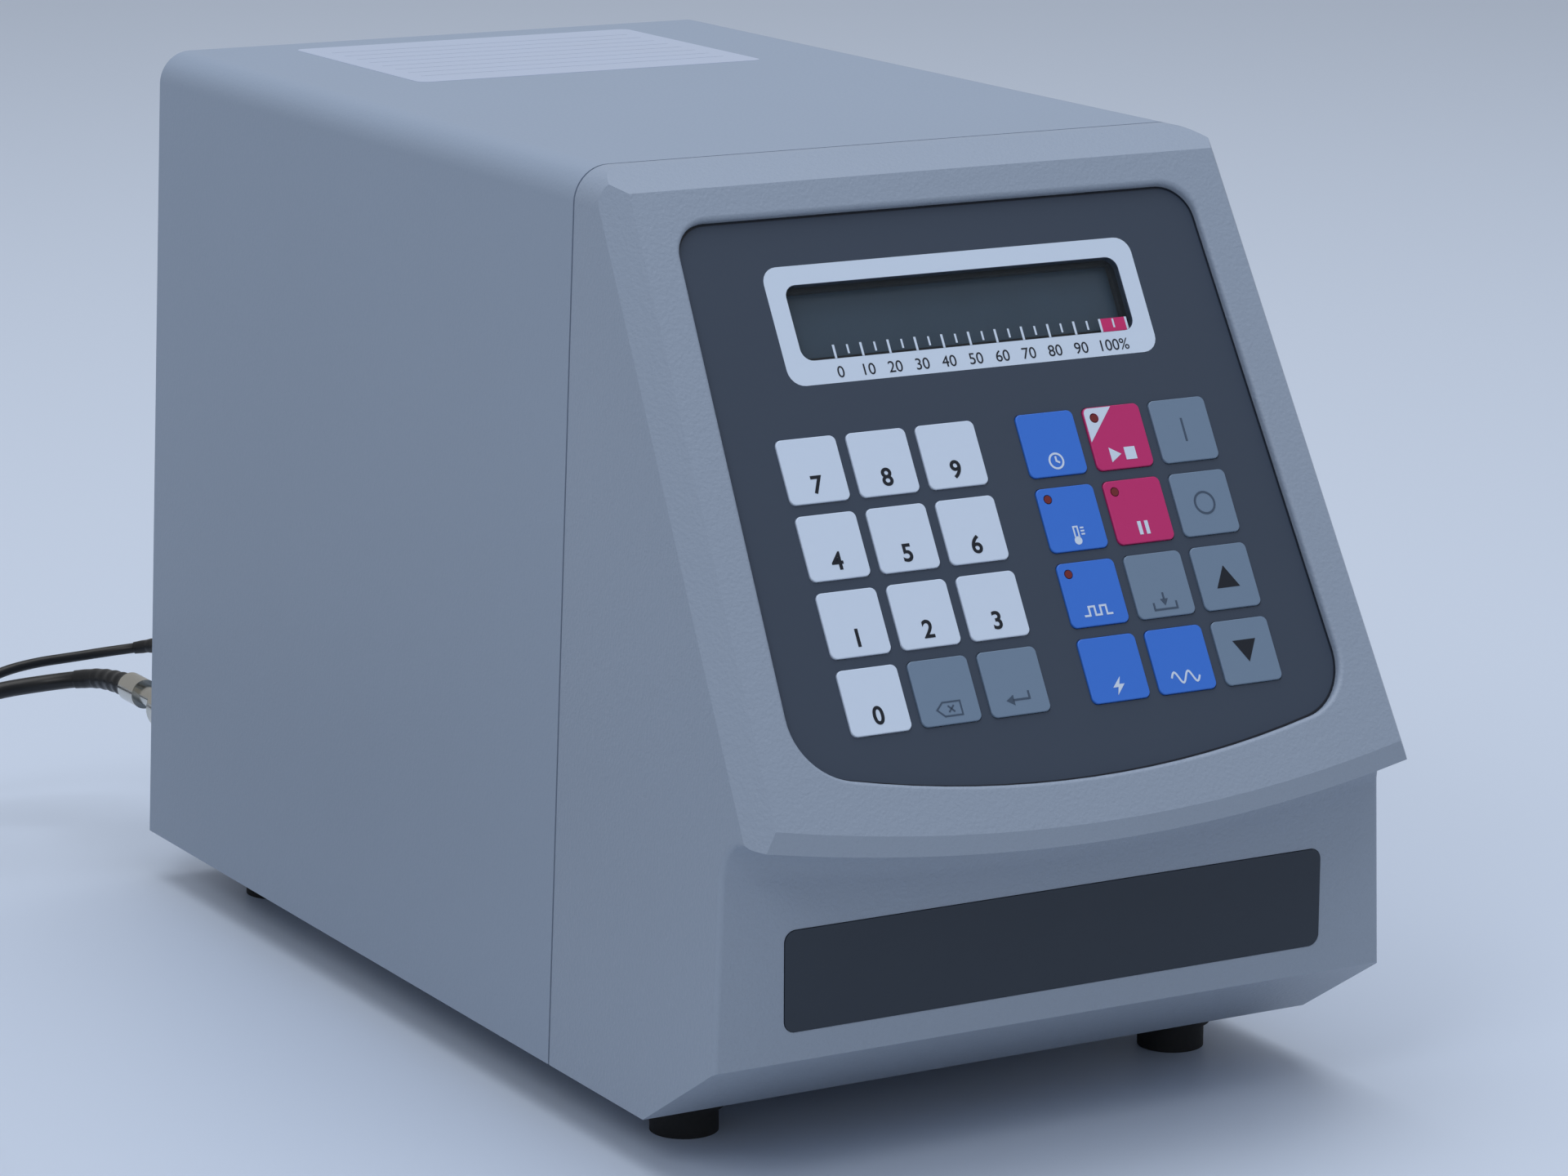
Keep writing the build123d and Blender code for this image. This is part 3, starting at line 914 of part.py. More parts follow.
# Standoffs under the power board, each with a screw through the board
with BuildPart() as board_standoffs:
    with BuildSketch(Plane.XY.offset(CHASSIS_TOP + TOUCH_GAP)):
        with Locations(*STANDOFFS):
            RegularPolygon(STANDOFF_RADIUS, 6)
    extrude(amount=STANDOFF_HEIGHT - 2 * TOUCH_GAP)
    with BuildSketch(Plane.XY.offset(BOARD_UNDERSIDE - TOUCH_GAP)):
        with Locations(*STANDOFFS):
            Circle(STANDOFF_SCREW_RADIUS)
    extrude(amount=BOARD_THICK + 2 * TOUCH_GAP)
    with BuildSketch(Plane.XY.offset(BOARD_UNDERSIDE + BOARD_THICK + TOUCH_GAP)):
        with Locations(*STANDOFFS):
            Circle(STANDOFF_RADIUS)
    extrude(amount=SCREW_HEAD)
save(board_standoffs.part, "board_standoffs")

# Power board
with BuildPart() as power_board:
    with BuildSketch(Plane.XY.offset(BOARD_UNDERSIDE)):
        with Locations((BOARD_X, BOARD_Y)):
            Rectangle(BOARD_WIDTH, BOARD_LENGTH)
        with Locations(*STANDOFFS):
            Circle(STANDOFF_SCREW_RADIUS + FIT_GAP, mode=Mode.SUBTRACT)
    extrude(amount=BOARD_THICK)
save(power_board.part, "power_board")

# What stands on the board: reservoir and small capacitors, output transformer, relays and terminal strips
BOARD_TOP = BOARD_UNDERSIDE + BOARD_THICK + TOUCH_GAP
with BuildPart() as board_components:
    for radius, height, places in CAPACITORS:
        with BuildSketch(Plane.XY.offset(BOARD_TOP)):
            with Locations(*[(BOARD_X + dx, BOARD_Y + dy) for dx, dy in places]):
                Circle(radius)
        extrude(amount=height)
    for width, length, height, places in BLOCKS:
        with BuildSketch(Plane.XY.offset(BOARD_TOP)):
            with Locations(*[(BOARD_X + dx, BOARD_Y + dy) for dx, dy in places]):
                Rectangle(width, length)
        extrude(amount=height)
save(board_components.part, "board_components")

# Heat sink of the output stage: a base with upright fins
with BuildPart() as heat_sink:
    with BuildSketch(at_back(SINK_Y + SINK_LENGTH / 2)):
        with Locations((SINK_X, COIL_BASE)):
            Rectangle(SINK_WIDTH, SINK_BASE, align=(Align.CENTER, Align.MIN))
        with Locations((SINK_X, COIL_BASE + SINK_BASE / 2)):
            with GridLocations((SINK_WIDTH - FIN_THICK) / (SINK_FINS - 1), 0, SINK_FINS, 1):
                Rectangle(FIN_THICK, SINK_HEIGHT - SINK_BASE / 2, align=(Align.CENTER, Align.MIN))
    extrude(amount=SINK_LENGTH)
save(heat_sink.part, "heat_sink")

# Converter's plug in its socket: a pin, a nut, a thin neck and a bright sleeve
PLUG_STEPS = [
    (PLUG_NUT_RADIUS, PLUG_NUT_LENGTH),
    (PLUG_NECK_RADIUS, PLUG_NECK_LENGTH),
    (PLUG_SLEEVE_RADIUS, PLUG_SLEEVE_LENGTH),
]
PLUG_FACE = Y_REAR + REAR_STANDOFF + TOUCH_GAP
plug_end = PLUG_FACE
with BuildPart() as converter_plug:
    with BuildSketch(at_back(PLUG_FACE)):
        with Locations((CONVERTER_SOCKET_X, CONVERTER_SOCKET_Z)):
            Circle(PLUG_PIN_RADIUS)
    extrude(amount=PLUG_PIN_LENGTH)
    for radius, length in PLUG_STEPS:
        with BuildSketch(at_back(plug_end)):
            with Locations((CONVERTER_SOCKET_X, CONVERTER_SOCKET_Z)):
                Circle(radius)
        extrude(amount=-length)
        plug_end = plug_end + length
save(converter_plug.part, "converter_plug")

# Temperature probe's plug in its jack
with BuildPart() as temp_plug:
    with BuildSketch(at_back(PLUG_FACE)):
        with Locations((TEMP_SOCKET_X, TEMP_SOCKET_Z)):
            Circle(TEMP_PLUG_RADIUS)
    extrude(amount=-TEMP_PLUG_LENGTH)
    with BuildSketch(at_back(PLUG_FACE)):
        with Locations((TEMP_SOCKET_X, TEMP_SOCKET_Z)):
            Circle(TEMP_PIN_RADIUS)
    extrude(amount=TEMP_PIN_LENGTH)
save(temp_plug.part, "temp_plug")


def turn_radii(points):
    """The bend at each inner point: 0.45 of its shorter run over the tangent of half its turn."""
    radii = []
    for before, here, after in zip(points, points[1:], points[2:]):
        run_in, run_out = here - before, after - here
        half_turn = radians(run_in.get_angle(run_out)) / 2
        radii.append(0.45 * min(run_in.length, run_out.length) / tan(half_turn))
    return radii


def behind_case(points):
    """Places on the bench, from x, the distance behind the case's rear edge, and z."""
    return [Vector(x, Y_REAR + back, z) for x, back, z in points]


# Routes of the cords: x, distance behind the case's rear edge, height. What lies in front of it is negative.
# Each cord has one stretch from its plug to its coil, and one from the coil to what it serves.
CABLE_ROUTES = [
    behind_case([
        (CONVERTER_SOCKET_X, plug_end - Y_REAR, CONVERTER_SOCKET_Z), (-79, 66, 41.4), (-84.5, 76, 39.8),
        (-94.5, 82.5, 38), (-107, 84.5, 37), (-122, 86, 34), (-137, 87, 27), (-150, 87.5, 17),
        (-162, 87.8, 8.2), (-175, 87.6, 2.8), (-190, 87.5, 2.5),
    ]),
    behind_case([
        (-224.4, 79.4, 12.5), (-236, 67, 12), (-248, 54, 11), (-259, 41, 12), (-268, 29, 15.5),
        (-275.5, 17.5, 21.5), (-281.5, 6.5, 27), (-284.6, -4, 30.6),
        (CONVERTER_X, CONVERTER_BACK, CONVERTER_RADIUS),
    ]),
]
LEAD_ROUTES = [
    behind_case([
        (TEMP_SOCKET_X, PLUG_FACE + TEMP_PLUG_LENGTH - Y_REAR, TEMP_SOCKET_Z), (-78.6, 29.5, 59.2),
        (-83, 36, 57.4), (-91, 40, 56.2), (-101, 41.5, 55.4), (-112, 42, 55), (-123.5, 41.5, 53.5),
        (-135, 40.5, 49), (-145, 37, 41.5), (-153, 33.5, 32), (-160, 29, 21.5), (-167, 23.5, 11.5),
        (-175, 17.5, 4.5), (-184.5, 12.8, 1.8), (-195, 11, 1.5),
    ]),
    behind_case([
        (-213, -6, 7.5), (-213.6, -14, 6.8), (-217, -21.5, 5.5), (-222, -28, 5), (-228, -35, 5),
        (TEMP_PROBE_X, TEMP_PROBE_BACK, TEMP_HANDLE_RADIUS),
    ]),
]

# Converter cable, where it isn't coiled
with BuildPart() as converter_cable:
    for points in CABLE_ROUTES:
        with BuildLine() as run:
            FilletPolyline(*points, radius=turn_radii(points))
        with BuildSketch(Plane(origin=run.line @ 0, z_dir=run.line % 0)):
            Circle(CABLE_DIAMETER / 2)
        sweep()
        length = sum(edge.length for edge in run.edges())
        print("cable run", round(length, 1), "radii", [round(radius) for radius in turn_radii(points)])
save(converter_cable.part, "converter_cable")

# Temperature lead, where it isn't coiled
with BuildPart() as temp_lead:
    for points in LEAD_ROUTES:
        with BuildLine() as run:
            FilletPolyline(*points, radius=turn_radii(points))
        with BuildSketch(Plane(origin=run.line @ 0, z_dir=run.line % 0)):
            Circle(LEAD_DIAMETER / 2)
        sweep()
        length = sum(edge.length for edge in run.edges())
        print("lead run", round(length, 1), "radii", [round(radius) for radius in turn_radii(points)])
save(temp_lead.part, "temp_lead")

for name, cord, diameter in (("cable", converter_cable, CABLE_DIAMETER), ("lead", temp_lead, LEAD_DIAMETER)):
    print(name, "volume over section", round(cord.part.volume / (pi * diameter**2 / 4), 1))

# The coils, each the outer shape of its turns
with BuildPart() as converter_cable_coil:
    with Locations((CABLE_COIL_X, Y_REAR + CABLE_COIL_BACK, CABLE_BUNDLE / 2)):
        Torus(CABLE_COIL_RADIUS, CABLE_BUNDLE / 2)
save(converter_cable_coil.part, "converter_cable_coil")

with BuildPart() as temp_lead_coil:
    with Locations((LEAD_COIL_X, Y_REAR + LEAD_COIL_BACK, LEAD_BUNDLE / 2)):
        Torus(LEAD_COIL_RADIUS, LEAD_BUNDLE / 2)
save(temp_lead_coil.part, "temp_lead_coil")


def on_converter(back):
    """The plane across the converter's axis, that far behind the case's rear edge, facing the front."""
    return Plane(origin=(CONVERTER_X, Y_REAR + back, CONVERTER_RADIUS), x_dir=(1, 0, 0), z_dir=(0, -1, 0))


# Converter housing: a gland, a tube closed at the cable's end, and a ring that holds the driver in
HOUSING_BACK = CONVERTER_BACK - GLAND_LENGTH
HOUSING_FRONT = HOUSING_BACK - CONVERTER_LENGTH
HOUSING_BORE = CONVERTER_RADIUS - CONVERTER_WALL
with BuildPart() as converter_housing:
    with BuildSketch(on_converter(CONVERTER_BACK)):
        Circle(GLAND_RADIUS)
    extrude(amount=GLAND_LENGTH)
    with BuildSketch(on_converter(HOUSING_BACK)):
        Circle(CONVERTER_RADIUS)
    extrude(amount=CONVERTER_LENGTH)
    circles = converter_housing.edges().filter_by(GeomType.CIRCLE)
    ends = circles.filter_by(lambda e: e.radius > (GLAND_RADIUS + CONVERTER_RADIUS) / 2)
    fillet(ends.sort_by(Axis.Y)[-1], CONVERTER_WALL)
    chamfer(ends.sort_by(Axis.Y)[0], CONVERTER_WALL / 2)
    with BuildSketch(on_converter(HOUSING_FRONT)):
        Circle(HOUSING_BORE)
    extrude(amount=-(CONVERTER_LENGTH - HOUSING_END_WALL), mode=Mode.SUBTRACT)
    with BuildSketch(on_converter(HOUSING_FRONT)):
        Circle(HOUSING_BORE - FIT_GAP)
        Circle(DRIVER_RADIUS + RETAINER_GAP, mode=Mode.SUBTRACT)
    extrude(amount=-RETAINER_RING)
save(converter_housing.part, "converter_housing")

# Driver: the metal front mass with a flange inside the housing and a threaded bore for the probe
FLANGE_FRONT = HOUSING_FRONT + RETAINER_RING + TOUCH_GAP
with BuildPart() as converter_driver:
    with BuildSketch(on_converter(HOUSING_FRONT - DRIVER_LENGTH)):
        Circle(DRIVER_RADIUS)
    extrude(amount=-(DRIVER_LENGTH + DRIVER_DEEP))
    front_rim = converter_driver.edges().filter_by(GeomType.CIRCLE).sort_by(Axis.Y)[0]
    chamfer(front_rim, EDGE_RADIUS)
    with BuildSketch(on_converter(FLANGE_FRONT)):
        Circle(HOUSING_BORE - FIT_GAP)
    extrude(amount=-DRIVER_FLANGE)
    with BuildSketch(on_converter(HOUSING_FRONT - DRIVER_LENGTH)):
        Circle(STUD_RADIUS + FIT_GAP)
    extrude(amount=-(STUD_LENGTH + FIT_GAP), mode=Mode.SUBTRACT)
    with Locations(on_converter(HOUSING_FRONT - DRIVER_LENGTH / 2)):
        with PolarLocations(0, 4):
            with Locations((DRIVER_RADIUS, 0, 0)):
                Cylinder(SPANNER_HOLE_RADIUS, 2 * SPANNER_HOLE_DEPTH, rotation=(0, 90, 0), mode=Mode.SUBTRACT)
save(converter_driver.part, "converter_driver")

# Piezo stack behind the driver: ceramic rings and the back mass
with BuildPart() as piezo_stack:
    stack_front = HOUSING_FRONT + DRIVER_DEEP
    for ring in range(PIEZO_COUNT):
        with BuildSketch(on_converter(stack_front + TOUCH_GAP + ring * PIEZO_RING)):
            Circle(PIEZO_RADIUS)
        extrude(amount=TOUCH_GAP - PIEZO_RING)
    with BuildSketch(on_converter(stack_front + TOUCH_GAP + PIEZO_COUNT * PIEZO_RING)):
        Circle(PIEZO_RADIUS)
    extrude(amount=-BACK_MASS)
    with BuildSketch(on_converter(stack_front + TOUCH_GAP + PIEZO_COUNT * PIEZO_RING + BACK_MASS)):
        RegularPolygon(STUD_NUT_RADIUS, 6)
    extrude(amount=-STUD_NUT)
save(piezo_stack.part, "piezo_stack")

# Probe: a stepped titanium horn that screws into the driver
with BuildPart() as sonic_probe:
    probe_root = HOUSING_FRONT - DRIVER_LENGTH - TOUCH_GAP
    with BuildSketch(on_converter(probe_root)):
        Circle(STUD_RADIUS)
    extrude(amount=-STUD_LENGTH)
    with BuildSketch(Plane(origin=(CONVERTER_X, Y_REAR + probe_root, CONVERTER_RADIUS), z_dir=(0, 0, 1))):
        with BuildLine():
            waist = PROBE_ROOT_RADIUS - PROBE_TIP_RADIUS
            shoulder, neck = (PROBE_ROOT_RADIUS, -PROBE_STEP), (PROBE_TIP_RADIUS, -PROBE_STEP - waist)
            Polyline((0, 0), (PROBE_ROOT_RADIUS - PROBE_EDGE, 0), (PROBE_ROOT_RADIUS, -PROBE_EDGE), shoulder)
            RadiusArc(shoulder, neck, -waist)
            Polyline(neck, (PROBE_TIP_RADIUS, -PROBE_LENGTH), (0, -PROBE_LENGTH), (0, 0))
        make_face()
    revolve(axis=Axis((CONVERTER_X, Y_REAR, CONVERTER_RADIUS), (0, 1, 0)))
save(sonic_probe.part, "sonic_probe")

# Temperature probe: a round handle and a steel sheath
with BuildPart() as temp_probe:
    handle = Plane(origin=(TEMP_PROBE_X, Y_REAR + TEMP_PROBE_BACK, TEMP_HANDLE_RADIUS), z_dir=(0, -1, 0))
    with BuildSketch(handle):
        Circle(TEMP_HANDLE_RADIUS)
    extrude(amount=TEMP_HANDLE_LENGTH)
    fillet(temp_probe.edges().filter_by(GeomType.CIRCLE), EDGE_RADIUS)
    with BuildSketch(handle.offset(TEMP_HANDLE_LENGTH)):
        Circle(TEMP_SHEATH_RADIUS)
    extrude(amount=TEMP_SHEATH_LENGTH)
    fillet(temp_probe.edges().filter_by(GeomType.CIRCLE).sort_by(Axis.Y)[0], TEMP_SHEATH_RADIUS / 2)
save(temp_probe.part, "temp_probe")
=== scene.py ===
# %% [markdown]
# # An ultrasonic generator with its converter and probe
# The real object is a sheet-metal case with a moulded front. A membrane keypad, a display and a
# bare name plate sit in the front, and sockets, a fan and a mains inlet in the back. Two thin
# leads run from the back to a converter with a probe and to a temperature probe.
# The construction is already there as solids. This lesson gives them their finishes and adds what
# is printed, knurled, moulded or flexible. We load the solids first.

# %% Load the frame
import json
from math import cos, pi, radians, sin, tau

import bmesh
import bpy
from mathutils import Euler, Matrix, Vector
from mathutils.geometry import convex_hull_2d


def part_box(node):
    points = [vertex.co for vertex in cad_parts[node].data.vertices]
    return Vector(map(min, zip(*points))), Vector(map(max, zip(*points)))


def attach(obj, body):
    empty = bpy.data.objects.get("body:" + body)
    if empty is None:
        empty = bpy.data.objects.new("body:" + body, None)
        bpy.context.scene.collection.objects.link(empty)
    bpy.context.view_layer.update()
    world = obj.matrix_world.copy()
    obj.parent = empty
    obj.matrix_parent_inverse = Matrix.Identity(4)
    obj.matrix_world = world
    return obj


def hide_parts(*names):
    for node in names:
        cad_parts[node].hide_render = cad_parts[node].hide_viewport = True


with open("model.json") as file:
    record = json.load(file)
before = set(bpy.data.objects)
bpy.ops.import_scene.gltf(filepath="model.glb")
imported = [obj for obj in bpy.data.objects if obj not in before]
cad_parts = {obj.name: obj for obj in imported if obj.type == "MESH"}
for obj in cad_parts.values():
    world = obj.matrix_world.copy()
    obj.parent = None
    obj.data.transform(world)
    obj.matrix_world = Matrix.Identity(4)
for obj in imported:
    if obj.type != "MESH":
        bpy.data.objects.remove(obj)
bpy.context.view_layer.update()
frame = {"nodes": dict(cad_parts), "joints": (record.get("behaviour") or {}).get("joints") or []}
MM = 0.001
CASE_BODY = "generator"

# %% [markdown]
# A camera stands where the photographer stood: a long lens, a little to the left of the keypad and
# slightly above it. We write its place in metres and its turn as three angles, because a long lens
# changes its picture much with a small turn. The view transform is Standard, so that a colour
# looks as it is written.

# %% Camera
CAMERA_PLACE = (-0.6687, -1.19375, 0.4171)
CAMERA_TURN = (77.25, -0.254, -29.685)  # degrees
CAMERA_LENS = 123.2

lens = bpy.data.cameras.new("camera")
lens.lens = CAMERA_LENS
lens.sensor_width = 36
lens.clip_end = 20
camera = bpy.data.objects.new("camera", lens)
camera.location = CAMERA_PLACE
camera.rotation_euler = Euler([radians(angle) for angle in CAMERA_TURN])
bpy.context.scene.collection.objects.link(camera)
bpy.context.scene.camera = camera
bpy.context.scene.view_settings.view_transform = "Standard"
print("camera lens", lens.lens, "mm")

# %% [markdown]
# A finish in Blender is a tree of shader nodes. Maths on it is easier to read as Python, so a small
# class wraps a socket and gives it the signs for plus and times. An expression then adds the Math
# nodes by itself, and numbers alone are worked out in Python.

# %% Shader arithmetic
class Signal:
    """A number or colour that flows between shader nodes."""

    def __init__(self, finish, socket):
        self.finish = finish
        self.socket = socket

    def maths(self, operation, *values):
        return self.finish.node("ShaderNodeMath", {"operation": operation}, dict(enumerate(values)))

    def __add__(self, other):
        return self.maths("ADD", self, other)

    def __mul__(self, other):
        return self.maths("MULTIPLY", self, other)


def linear(colour):
    """The linear light of a colour written as red, green and blue from 0 to 255."""
    shares = [channel / 255 for channel in colour]
    return [share / 12.92 if share <= 0.04045 else ((share + 0.055) / 1.055) ** 2.4 for share in shares] + [1]


# %% [markdown]
# A second class holds one finish. It makes the material with its Principled shader, whose plain
# numbers are set on the shader itself, and has one method for every other node. A finish also
# reads a place on the object, as metres in the object's own space, for grain and brushing.

# %% A finish and its nodes
class Finish:
    """A material, its shader, and a method that adds any node."""

    def __init__(self, name, colour, **plain):
        self.material = bpy.data.materials.new(name)
        self.material.use_nodes = True
        self.tree = self.material.node_tree
        self.shader = self.tree.nodes["Principled BSDF"]
        self.colour = linear(colour)
        self.drive("Base Color", self.colour)
        for socket, value in plain.items():
            self.drive(socket.replace("_", " ").title().replace("Ior", "IOR"), value)

    def drive(self, socket, value):
        self.feed(self.shader.inputs[socket], value)

    def feed(self, socket, value):
        if isinstance(value, Signal):
            self.tree.links.new(value.socket, socket)
        else:
            socket.default_value = value

    def node(self, kind, settings, inputs, output=0):
        made = self.tree.nodes.new(kind)
        for name, value in settings.items():
            setattr(made, name, value)
        for name, value in inputs.items():
            self.feed(made.inputs[name], value)
        return Signal(self, made.outputs[output])

    def place(self, stretch=(1, 1, 1)):
        """The place on the object in metres, stretched along its axes."""
        place = self.node("ShaderNodeTexCoord", {}, {}, "Object")
        return self.node("ShaderNodeMapping", {}, {"Vector": place, "Scale": stretch})

    def grain(self, size, stretch=(1, 1, 1), detail=2.0):
        """Soft noise from 0 to 1, with lumps of about the given size in metres."""
        inputs = {"Vector": self.place(stretch), "Scale": 1 / size, "Detail": detail}
        return self.node("ShaderNodeTexNoise", {}, inputs, "Fac")

    def tint(self, share, colour):
        """The finish's own colour, with a share of another one."""
        inputs = {0: share, 6: self.colour, 7: linear(colour)}
        return self.node("ShaderNodeMix", {"data_type": "RGBA"}, inputs, 2)

    def bump(self, height, depth):
        """Small relief from a height between 0 and 1, worth a depth in metres."""
        inputs = {"Height": height, "Distance": depth, "Strength": 1.0}
        self.drive("Normal", self.node("ShaderNodeBump", {}, inputs, "Normal"))

# %% [markdown]
# The leads come next, because their routes decide how much room the whole part takes. Each is one
# NURBS curve with a round bevel. Its control points are listed, from the plug to the coil
# and from the coil to the tool, and a loop winds the coil between them. The curve is of order 3,
# which runs inside its points as a lead does that was bent by hand.

# %% Routes of the two leads
REAR_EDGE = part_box("top_cover")[1].y
POINTS_PER_TURN = 16
CLIMB = 0.25  # the last share of a turn, in which it moves over to the next turn's place
CABLE_DIAMETER = 0.005
CABLE_OUT = [
    (-0.078, 0.0526, 0.0416), (-0.079, 0.066, 0.0414), (-0.0845, 0.076, 0.0398), (-0.0945, 0.0825, 0.038),
    (-0.107, 0.0845, 0.037), (-0.122, 0.086, 0.034), (-0.137, 0.087, 0.027), (-0.150, 0.0875, 0.017),
    (-0.162, 0.0878, 0.0082), (-0.175, 0.0876, 0.0028), (-0.190, 0.0875, 0.0025),
]
CABLE_ON = [
    (-0.2244, 0.0794, 0.0125), (-0.236, 0.067, 0.012), (-0.248, 0.054, 0.011), (-0.259, 0.041, 0.012),
    (-0.268, 0.029, 0.0155), (-0.2755, 0.0175, 0.0215), (-0.2815, 0.0065, 0.027), (-0.2846, -0.004, 0.0306),
    (-0.285, -0.014, 0.03175),
]
LEAD_DIAMETER = 0.003
LEAD_OUT = [
    (-0.078, 0.0201, 0.060), (-0.0786, 0.0295, 0.0592), (-0.083, 0.036, 0.0574), (-0.091, 0.040, 0.0562),
    (-0.101, 0.0415, 0.0554), (-0.112, 0.042, 0.055), (-0.1235, 0.0415, 0.0535), (-0.135, 0.0405, 0.049),
    (-0.145, 0.037, 0.0415), (-0.153, 0.0335, 0.032), (-0.160, 0.029, 0.0215), (-0.167, 0.0235, 0.0115),
    (-0.175, 0.0175, 0.0045), (-0.1845, 0.0128, 0.0018), (-0.195, 0.011, 0.0015),
]
LEAD_ON = [
    (-0.213, -0.006, 0.0075), (-0.2136, -0.014, 0.0068), (-0.217, -0.0215, 0.0055), (-0.222, -0.028, 0.005),
    (-0.228, -0.035, 0.005), (-0.230, -0.043, 0.005),
]


def behind_case(points):
    """Places in the frame, from x, the distance behind the case's rear edge, and height."""
    return [Vector((x, REAR_EDGE + back, z)) for x, back, z in points]


def wound(middle, radius, start, turns, rows):
    """Points of a coil, counterclockwise from the angle start, each turn at its own place in the bundle."""
    points = []
    for step in range(round(turns * POINTS_PER_TURN)):
        turn = step / POINTS_PER_TURN
        here, there = rows[int(turn)], rows[min(int(turn) + 1, len(rows) - 1)]
        share = max(0, turn % 1 - (1 - CLIMB)) / CLIMB
        share = share * share * (3 - 2 * share)
        side = here[0] + (there[0] - here[0]) * share
        height = here[1] + (there[1] - here[1]) * share
        reach, angle = radius + side, start + tau * turn
        points.append(middle + Vector((reach * cos(angle), reach * sin(angle), height)))
    return points


# %% [markdown]
# In a hand-wound coil each turn lies in the hollow between two others. So a turn is a place in the
# bundle's section: how far it is from the coil's middle line, and how high above the bench.

# %% Wind the coils
CABLE_COIL = Vector((-0.205, REAR_EDGE + 0.060, 0))
CABLE_COIL_RADIUS = 0.0275
CABLE_COIL_START, CABLE_TURNS = 90, 7.125  # degrees, turns
CABLE_ROWS = [
    (0, 0.0025), (0.0047, 0.0035), (-0.0047, 0.0035), (0.0002, 0.0077), (0.0046, 0.0092),
    (-0.0046, 0.0085), (0.0003, 0.0124), (0, 0.0125),
]
LEAD_COIL = Vector((-0.196, REAR_EDGE - 0.006, 0))
LEAD_COIL_RADIUS = 0.017
LEAD_COIL_START, LEAD_TURNS = 93, 9.25
LEAD_ROWS = [
    (0, 0.0015), (0.003, 0.0015), (-0.003, 0.0015), (-0.0042, 0.0041), (-0.0013, 0.0042), (0.0016, 0.0041),
    (0.0042, 0.0041), (0.0029, 0.0068), (-0.0029, 0.0068), (0, 0.0073),
]
cable_points = behind_case(CABLE_OUT)
cable_points += wound(CABLE_COIL, CABLE_COIL_RADIUS, radians(CABLE_COIL_START), CABLE_TURNS, CABLE_ROWS)
cable_points += behind_case(CABLE_ON)
lead_points = behind_case(LEAD_OUT)
lead_points += wound(LEAD_COIL, LEAD_COIL_RADIUS, radians(LEAD_COIL_START), LEAD_TURNS, LEAD_ROWS)
lead_points += behind_case(LEAD_ON)


def cord_curve(name, points, diameter):
    """A smooth round cord along given points."""
    curve = bpy.data.curves.new(name, "CURVE")
    curve.dimensions = "3D"
    curve.resolution_u = 5
    curve.bevel_depth = diameter / 2
    curve.bevel_resolution = 3
    curve.use_fill_caps = True
    spline = curve.splines.new("NURBS")
    spline.points.add(len(points) - 1)
    for control, point in zip(spline.points, points):
        control.co = (*point, 1)
    spline.order_u = 3
    spline.use_endpoint_u = True
    cord = bpy.data.objects.new(name, curve)
    bpy.context.scene.collection.objects.link(cord)
    return cord


def plain_mesh(made):
    """The evaluated mesh of an object, its modifiers worked in."""
    graph = bpy.context.evaluated_depsgraph_get()
    return bpy.data.meshes.new_from_object(made.evaluated_get(graph))


def line_of(points):
    """The smooth line that a cord along these points follows, read from its own spline."""
    bare = cord_curve("line", points, 0)
    mesh = plain_mesh(bare)
    line = [vertex.co.copy() for vertex in mesh.vertices]
    bpy.data.objects.remove(bare)
    return line


cable = cord_curve("converter_cable_run", cable_points, CABLE_DIAMETER)
lead = cord_curve("temperature_lead_run", lead_points, LEAD_DIAMETER)
cable_line, lead_line = line_of(cable_points), line_of(lead_points)
for cord, line in ((cable, cable_line), (lead, lead_line)):
    length = sum((there - here).length for here, there in zip(line, line[1:]))
    print(cord.name, "is", round(length, 3), "m long")

# %% [markdown]
# The case is painted sheet metal and a moulding in the same blue-grey. Both have a fine pebbled
# texture, which shows as a soft sparkle where light grazes it. We make it from two sizes of noise as
# relief, and let the roughness vary a little with the same noise, so that no face is one flat tone.

# %% Finishes of the case
def pebbled(name, colour, lump, depth, roughness):
    """A painted or moulded surface with a fine pebbled texture."""
    finish = Finish(name, colour, specular_ior_level=0.4)
    fine, broad = finish.grain(lump), finish.grain(lump * 60, detail=4)
    finish.drive("Base Color", finish.tint(broad * 0.10, [channel * 0.86 for channel in colour]))
    finish.drive("Roughness", fine * 0.16 + (roughness - 0.08))
    finish.bump(fine + finish.grain(lump * 2.6) * 0.6, depth)
    return finish


case_paint = pebbled("case_paint", (146, 163, 188), 0.0009, 0.00006, 0.50)
front_moulding = pebbled("front_moulding", (147, 163, 187), 0.0009, 0.00015, 0.44)
foot_rubber = pebbled("foot_rubber", (26, 28, 32), 0.0012, 0.00005, 0.75)
black_moulding = pebbled("black_moulding", (30, 32, 36), 0.0007, 0.00004, 0.42)
jacket = pebbled("cable_jacket", (22, 24, 28), 0.0010, 0.00002, 0.36)
print("case finishes:", case_paint.material.name, front_moulding.material.name)

# %% [markdown]
# The keypad is printed film, so its colours are even and satin, with the faintest orange peel. The
# digit keys are white, and the others blue, pink and grey.

# %% Finishes of the keypad
def film(name, colour, roughness=0.34):
    """Printed film with a faint orange peel."""
    finish = Finish(name, colour, specular_ior_level=0.4)
    ripple = finish.grain(0.0030)
    finish.drive("Roughness", finish.grain(0.02) * 0.10 + (roughness - 0.05))
    finish.drive("Base Color", finish.tint(ripple * 0.05, [channel * 0.9 for channel in colour]))
    finish.bump(ripple, 0.00004)
    return finish


